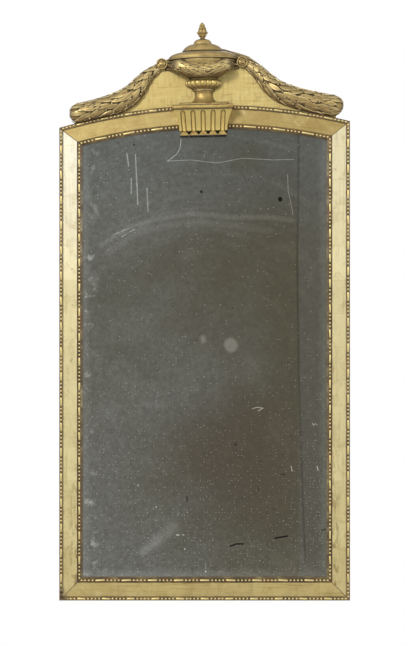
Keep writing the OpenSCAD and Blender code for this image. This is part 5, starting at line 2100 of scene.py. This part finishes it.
@dataclass
class Keystone:
    """The fluted keystone, its cornice and its drops, which stay as the model has them.

    Attributes:
        off: How far left of the crest's middle they stand.
        waist_up, waist_d: Height of the keystone's waist, and depth of its front there.
        hollow_r: Radius of its hollow front.
        pitch, splay: Distance from flute to flute at the waist, and the degrees by which they splay.
        flute, flute_top: A flute's width, and where the flutes' round ends begin.
        drop_low: Height of the drops' tips.
        cornice_lines: Heights of the dark lines under the plinth's mouldings.
    """

    off: float = 0.003
    waist_up: float = -0.060
    waist_d: float = 0.050
    hollow_r: float = 0.100
    pitch: float = 0.0215
    splay: float = 1.8
    flute: float = 0.0085
    flute_top: float = -0.0190
    drop_low: float = -0.0689
    cornice_lines: tuple[float, ...] = (0.0038, -0.0018, -0.0112)

    def build(self, maker: Maker) -> None:
        """Dresses them.

        Args:
            maker: Who dresses the nodes.
        """
        maker.dress(CarvedGilding("gilding_keystone", 0.0, Hollows.FLUTES).build(), "keystone")
        maker.dress(CarvedGilding("gilding_cornice", 0.45, Hollows.CORNICE).build(), "plinth", "guttae")


# ---------------------------------------------------------------- studio


@dataclass
class Studio:
    """Floor, light and camera.

    Attributes:
        distance: From the camera to the wall.
        middle: The point on the wall that the camera faces.
        view_height: Height of what the view shows at the frame's front.
        front: How far the frame's front is off the wall.
        sensor: Height of the camera's sensor in millimetres.
    """

    distance: float = 4.0
    middle: Vector = field(default_factory=lambda: Vector((-0.006, 0.0, 0.631)))
    view_height: float = 1.464
    front: float = 0.035
    sensor: float = 36.0

    def mesh(self, name: str, shape: BMesh, material: Material) -> Object:
        """Adds a stage object.

        Args:
            name: Its name.
            shape: Its shape, which is used up.
            material: Its material.

        Returns:
            The object.
        """
        mesh = mesh_of(name, shape)
        mesh.materials.append(material)
        thing = added(name, mesh)
        return thing

    def floor(self) -> None:
        """A pale round floor, well below the mirror on its wall."""
        tree = Tree("pale_floor")
        speck = tree.noise(40.0, 3.0)
        colour = tree.mix(tree.step(speck, 0.3, 0.7), (0.80, 0.80, 0.80), (0.84, 0.84, 0.84))
        shape = bmesh.new()
        bmesh.ops.create_circle(shape, cap_ends=True, segments=96, radius=3.9)
        bmesh.ops.translate(shape, vec=(0, -0.6, -0.75), verts=shape.verts)
        self.mesh("floor", shape, tree.finish(Base_Color=colour, Roughness=0.9))

    def card(self) -> None:
        """A grey card behind the camera, seen only in the plate and the gold."""
        tree = Tree("grey_card")
        glow = tree.add("ShaderNodeEmission", {"Color": (0.175, 0.17, 0.155)})
        tree.add("ShaderNodeOutputMaterial", {"Surface": glow.outputs[0]})
        shape = bmesh.new()
        bmesh.ops.create_grid(shape, x_segments=1, y_segments=1, size=1.0)
        place = Matrix.Translation((0, -7.6, 0.6)) @ Matrix.Rotation(-math.pi / 2, 4, "X")
        place = place @ Matrix.Diagonal((2.6, 2.9, 1, 1))
        bmesh.ops.transform(shape, matrix=place, verts=shape.verts)
        card = self.mesh("grey_card", shape, tree.material)
        card.visible_camera = card.visible_diffuse = card.visible_shadow = card.visible_transmission = False

    def lamp(self, name: str, place: Vector, aim: Vector, size: float, power: float, colour: Colour) -> None:
        """Adds a soft square lamp.

        Args:
            name: Its name.
            place: Where it hangs.
            aim: The point that it faces.
            size: Its side.
            power: Its power in watts.
            colour: Its colour.
        """
        data = bpy.data.lights.new(name, "AREA")
        data.size, data.energy, data.color = size, power, colour
        turn = (aim - place).to_track_quat("-Z", "Y").to_matrix().to_4x4()
        added(name, data).matrix_world = Matrix.Translation(place) @ turn

    def world(self) -> None:
        """A white surround, softer where it lights the object."""
        world = bpy.data.worlds.new("surround")
        tree = Tree("surround", world)
        path = tree.add("ShaderNodeLightPath").outputs
        seen = tree.add("ShaderNodeBackground", {"Color": (1.0, 1.0, 1.0)})
        light = tree.add("ShaderNodeBackground", {"Color": (0.46, 0.465, 0.475)})
        direct = tree.most(path["Is Camera Ray"], path["Is Glossy Ray"], path["Is Transmission Ray"])
        both = tree.add("ShaderNodeMixShader", {0: direct, 1: light.outputs[0], 2: seen.outputs[0]})
        tree.add("ShaderNodeOutputWorld", {"Surface": both.outputs[0]})
        bpy.context.scene.world = world

    def camera(self) -> None:
        """The camera, level and straight on."""
        data = bpy.data.cameras.new("camera")
        data.sensor_fit, data.sensor_height = "VERTICAL", self.sensor
        data.lens = self.sensor * (self.distance - self.front) / self.view_height
        camera = added("camera", data)
        stand = Matrix.Translation(self.middle - Vector((0, self.distance, 0)))
        camera.matrix_world = stand @ Matrix.Rotation(math.pi / 2, 4, "X")
        bpy.context.scene.camera = camera

    def build(self) -> None:
        """Sets up floor, card, light and camera."""
        bpy.context.scene.view_settings.view_transform = "Standard"
        self.floor()
        self.card()
        self.world()
        target = Vector((0, 0, 0.75))
        self.lamp("key", Vector((-1.7, -3.4, 2.6)), target, 0.8, 95.0, (1.0, 0.985, 0.96))
        self.lamp("fill", Vector((2.6, -3.2, 1.1)), target, 2.2, 26.0, (0.97, 0.985, 1.0))
        self.lamp("back", Vector((0.6, 3.2, 2.4)), target, 2.2, 60.0, (1.0, 1.0, 1.0))
        self.camera()


def main() -> None:
    """Builds and dresses the mirror, piece by piece."""
    logging.basicConfig(level=logging.INFO, format="%(name)s: %(message)s")
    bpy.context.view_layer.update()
    maker = Maker()
    Studio().build()
    FrameMembers(maker).build()
    Plate(maker).build()
    maker.dress(FieldLeaf().build(), "crest_board")
    Keystone().build(maker)
    BeadStrings(maker).build(CarvedGilding("gilding_beads", 0.12).build())
    carved = CarvedGilding("gilding_carving").build()
    toned = CarvedGilding("gilding_laurel", 1.0, dull=0.16, deepest_black=0.75, gold=Gold(deep=(0.30, 0.200, 0.065)))
    gilt_laurel = toned.build()
    for side in (-1, 1):
        Garland(maker, side).build(gilt_laurel)
    Swag(maker).build(carved)
    Rings(maker).build(carved)
    Urn(maker).build(carved)
    beside = ("left_stile", "right_stile", "top_rail", "bottom_rail", "crest_board", "plinth", "keystone")
    Shelter().paint(maker.made, [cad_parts[name] for name in beside])


if __name__ == "__main__":
    main()
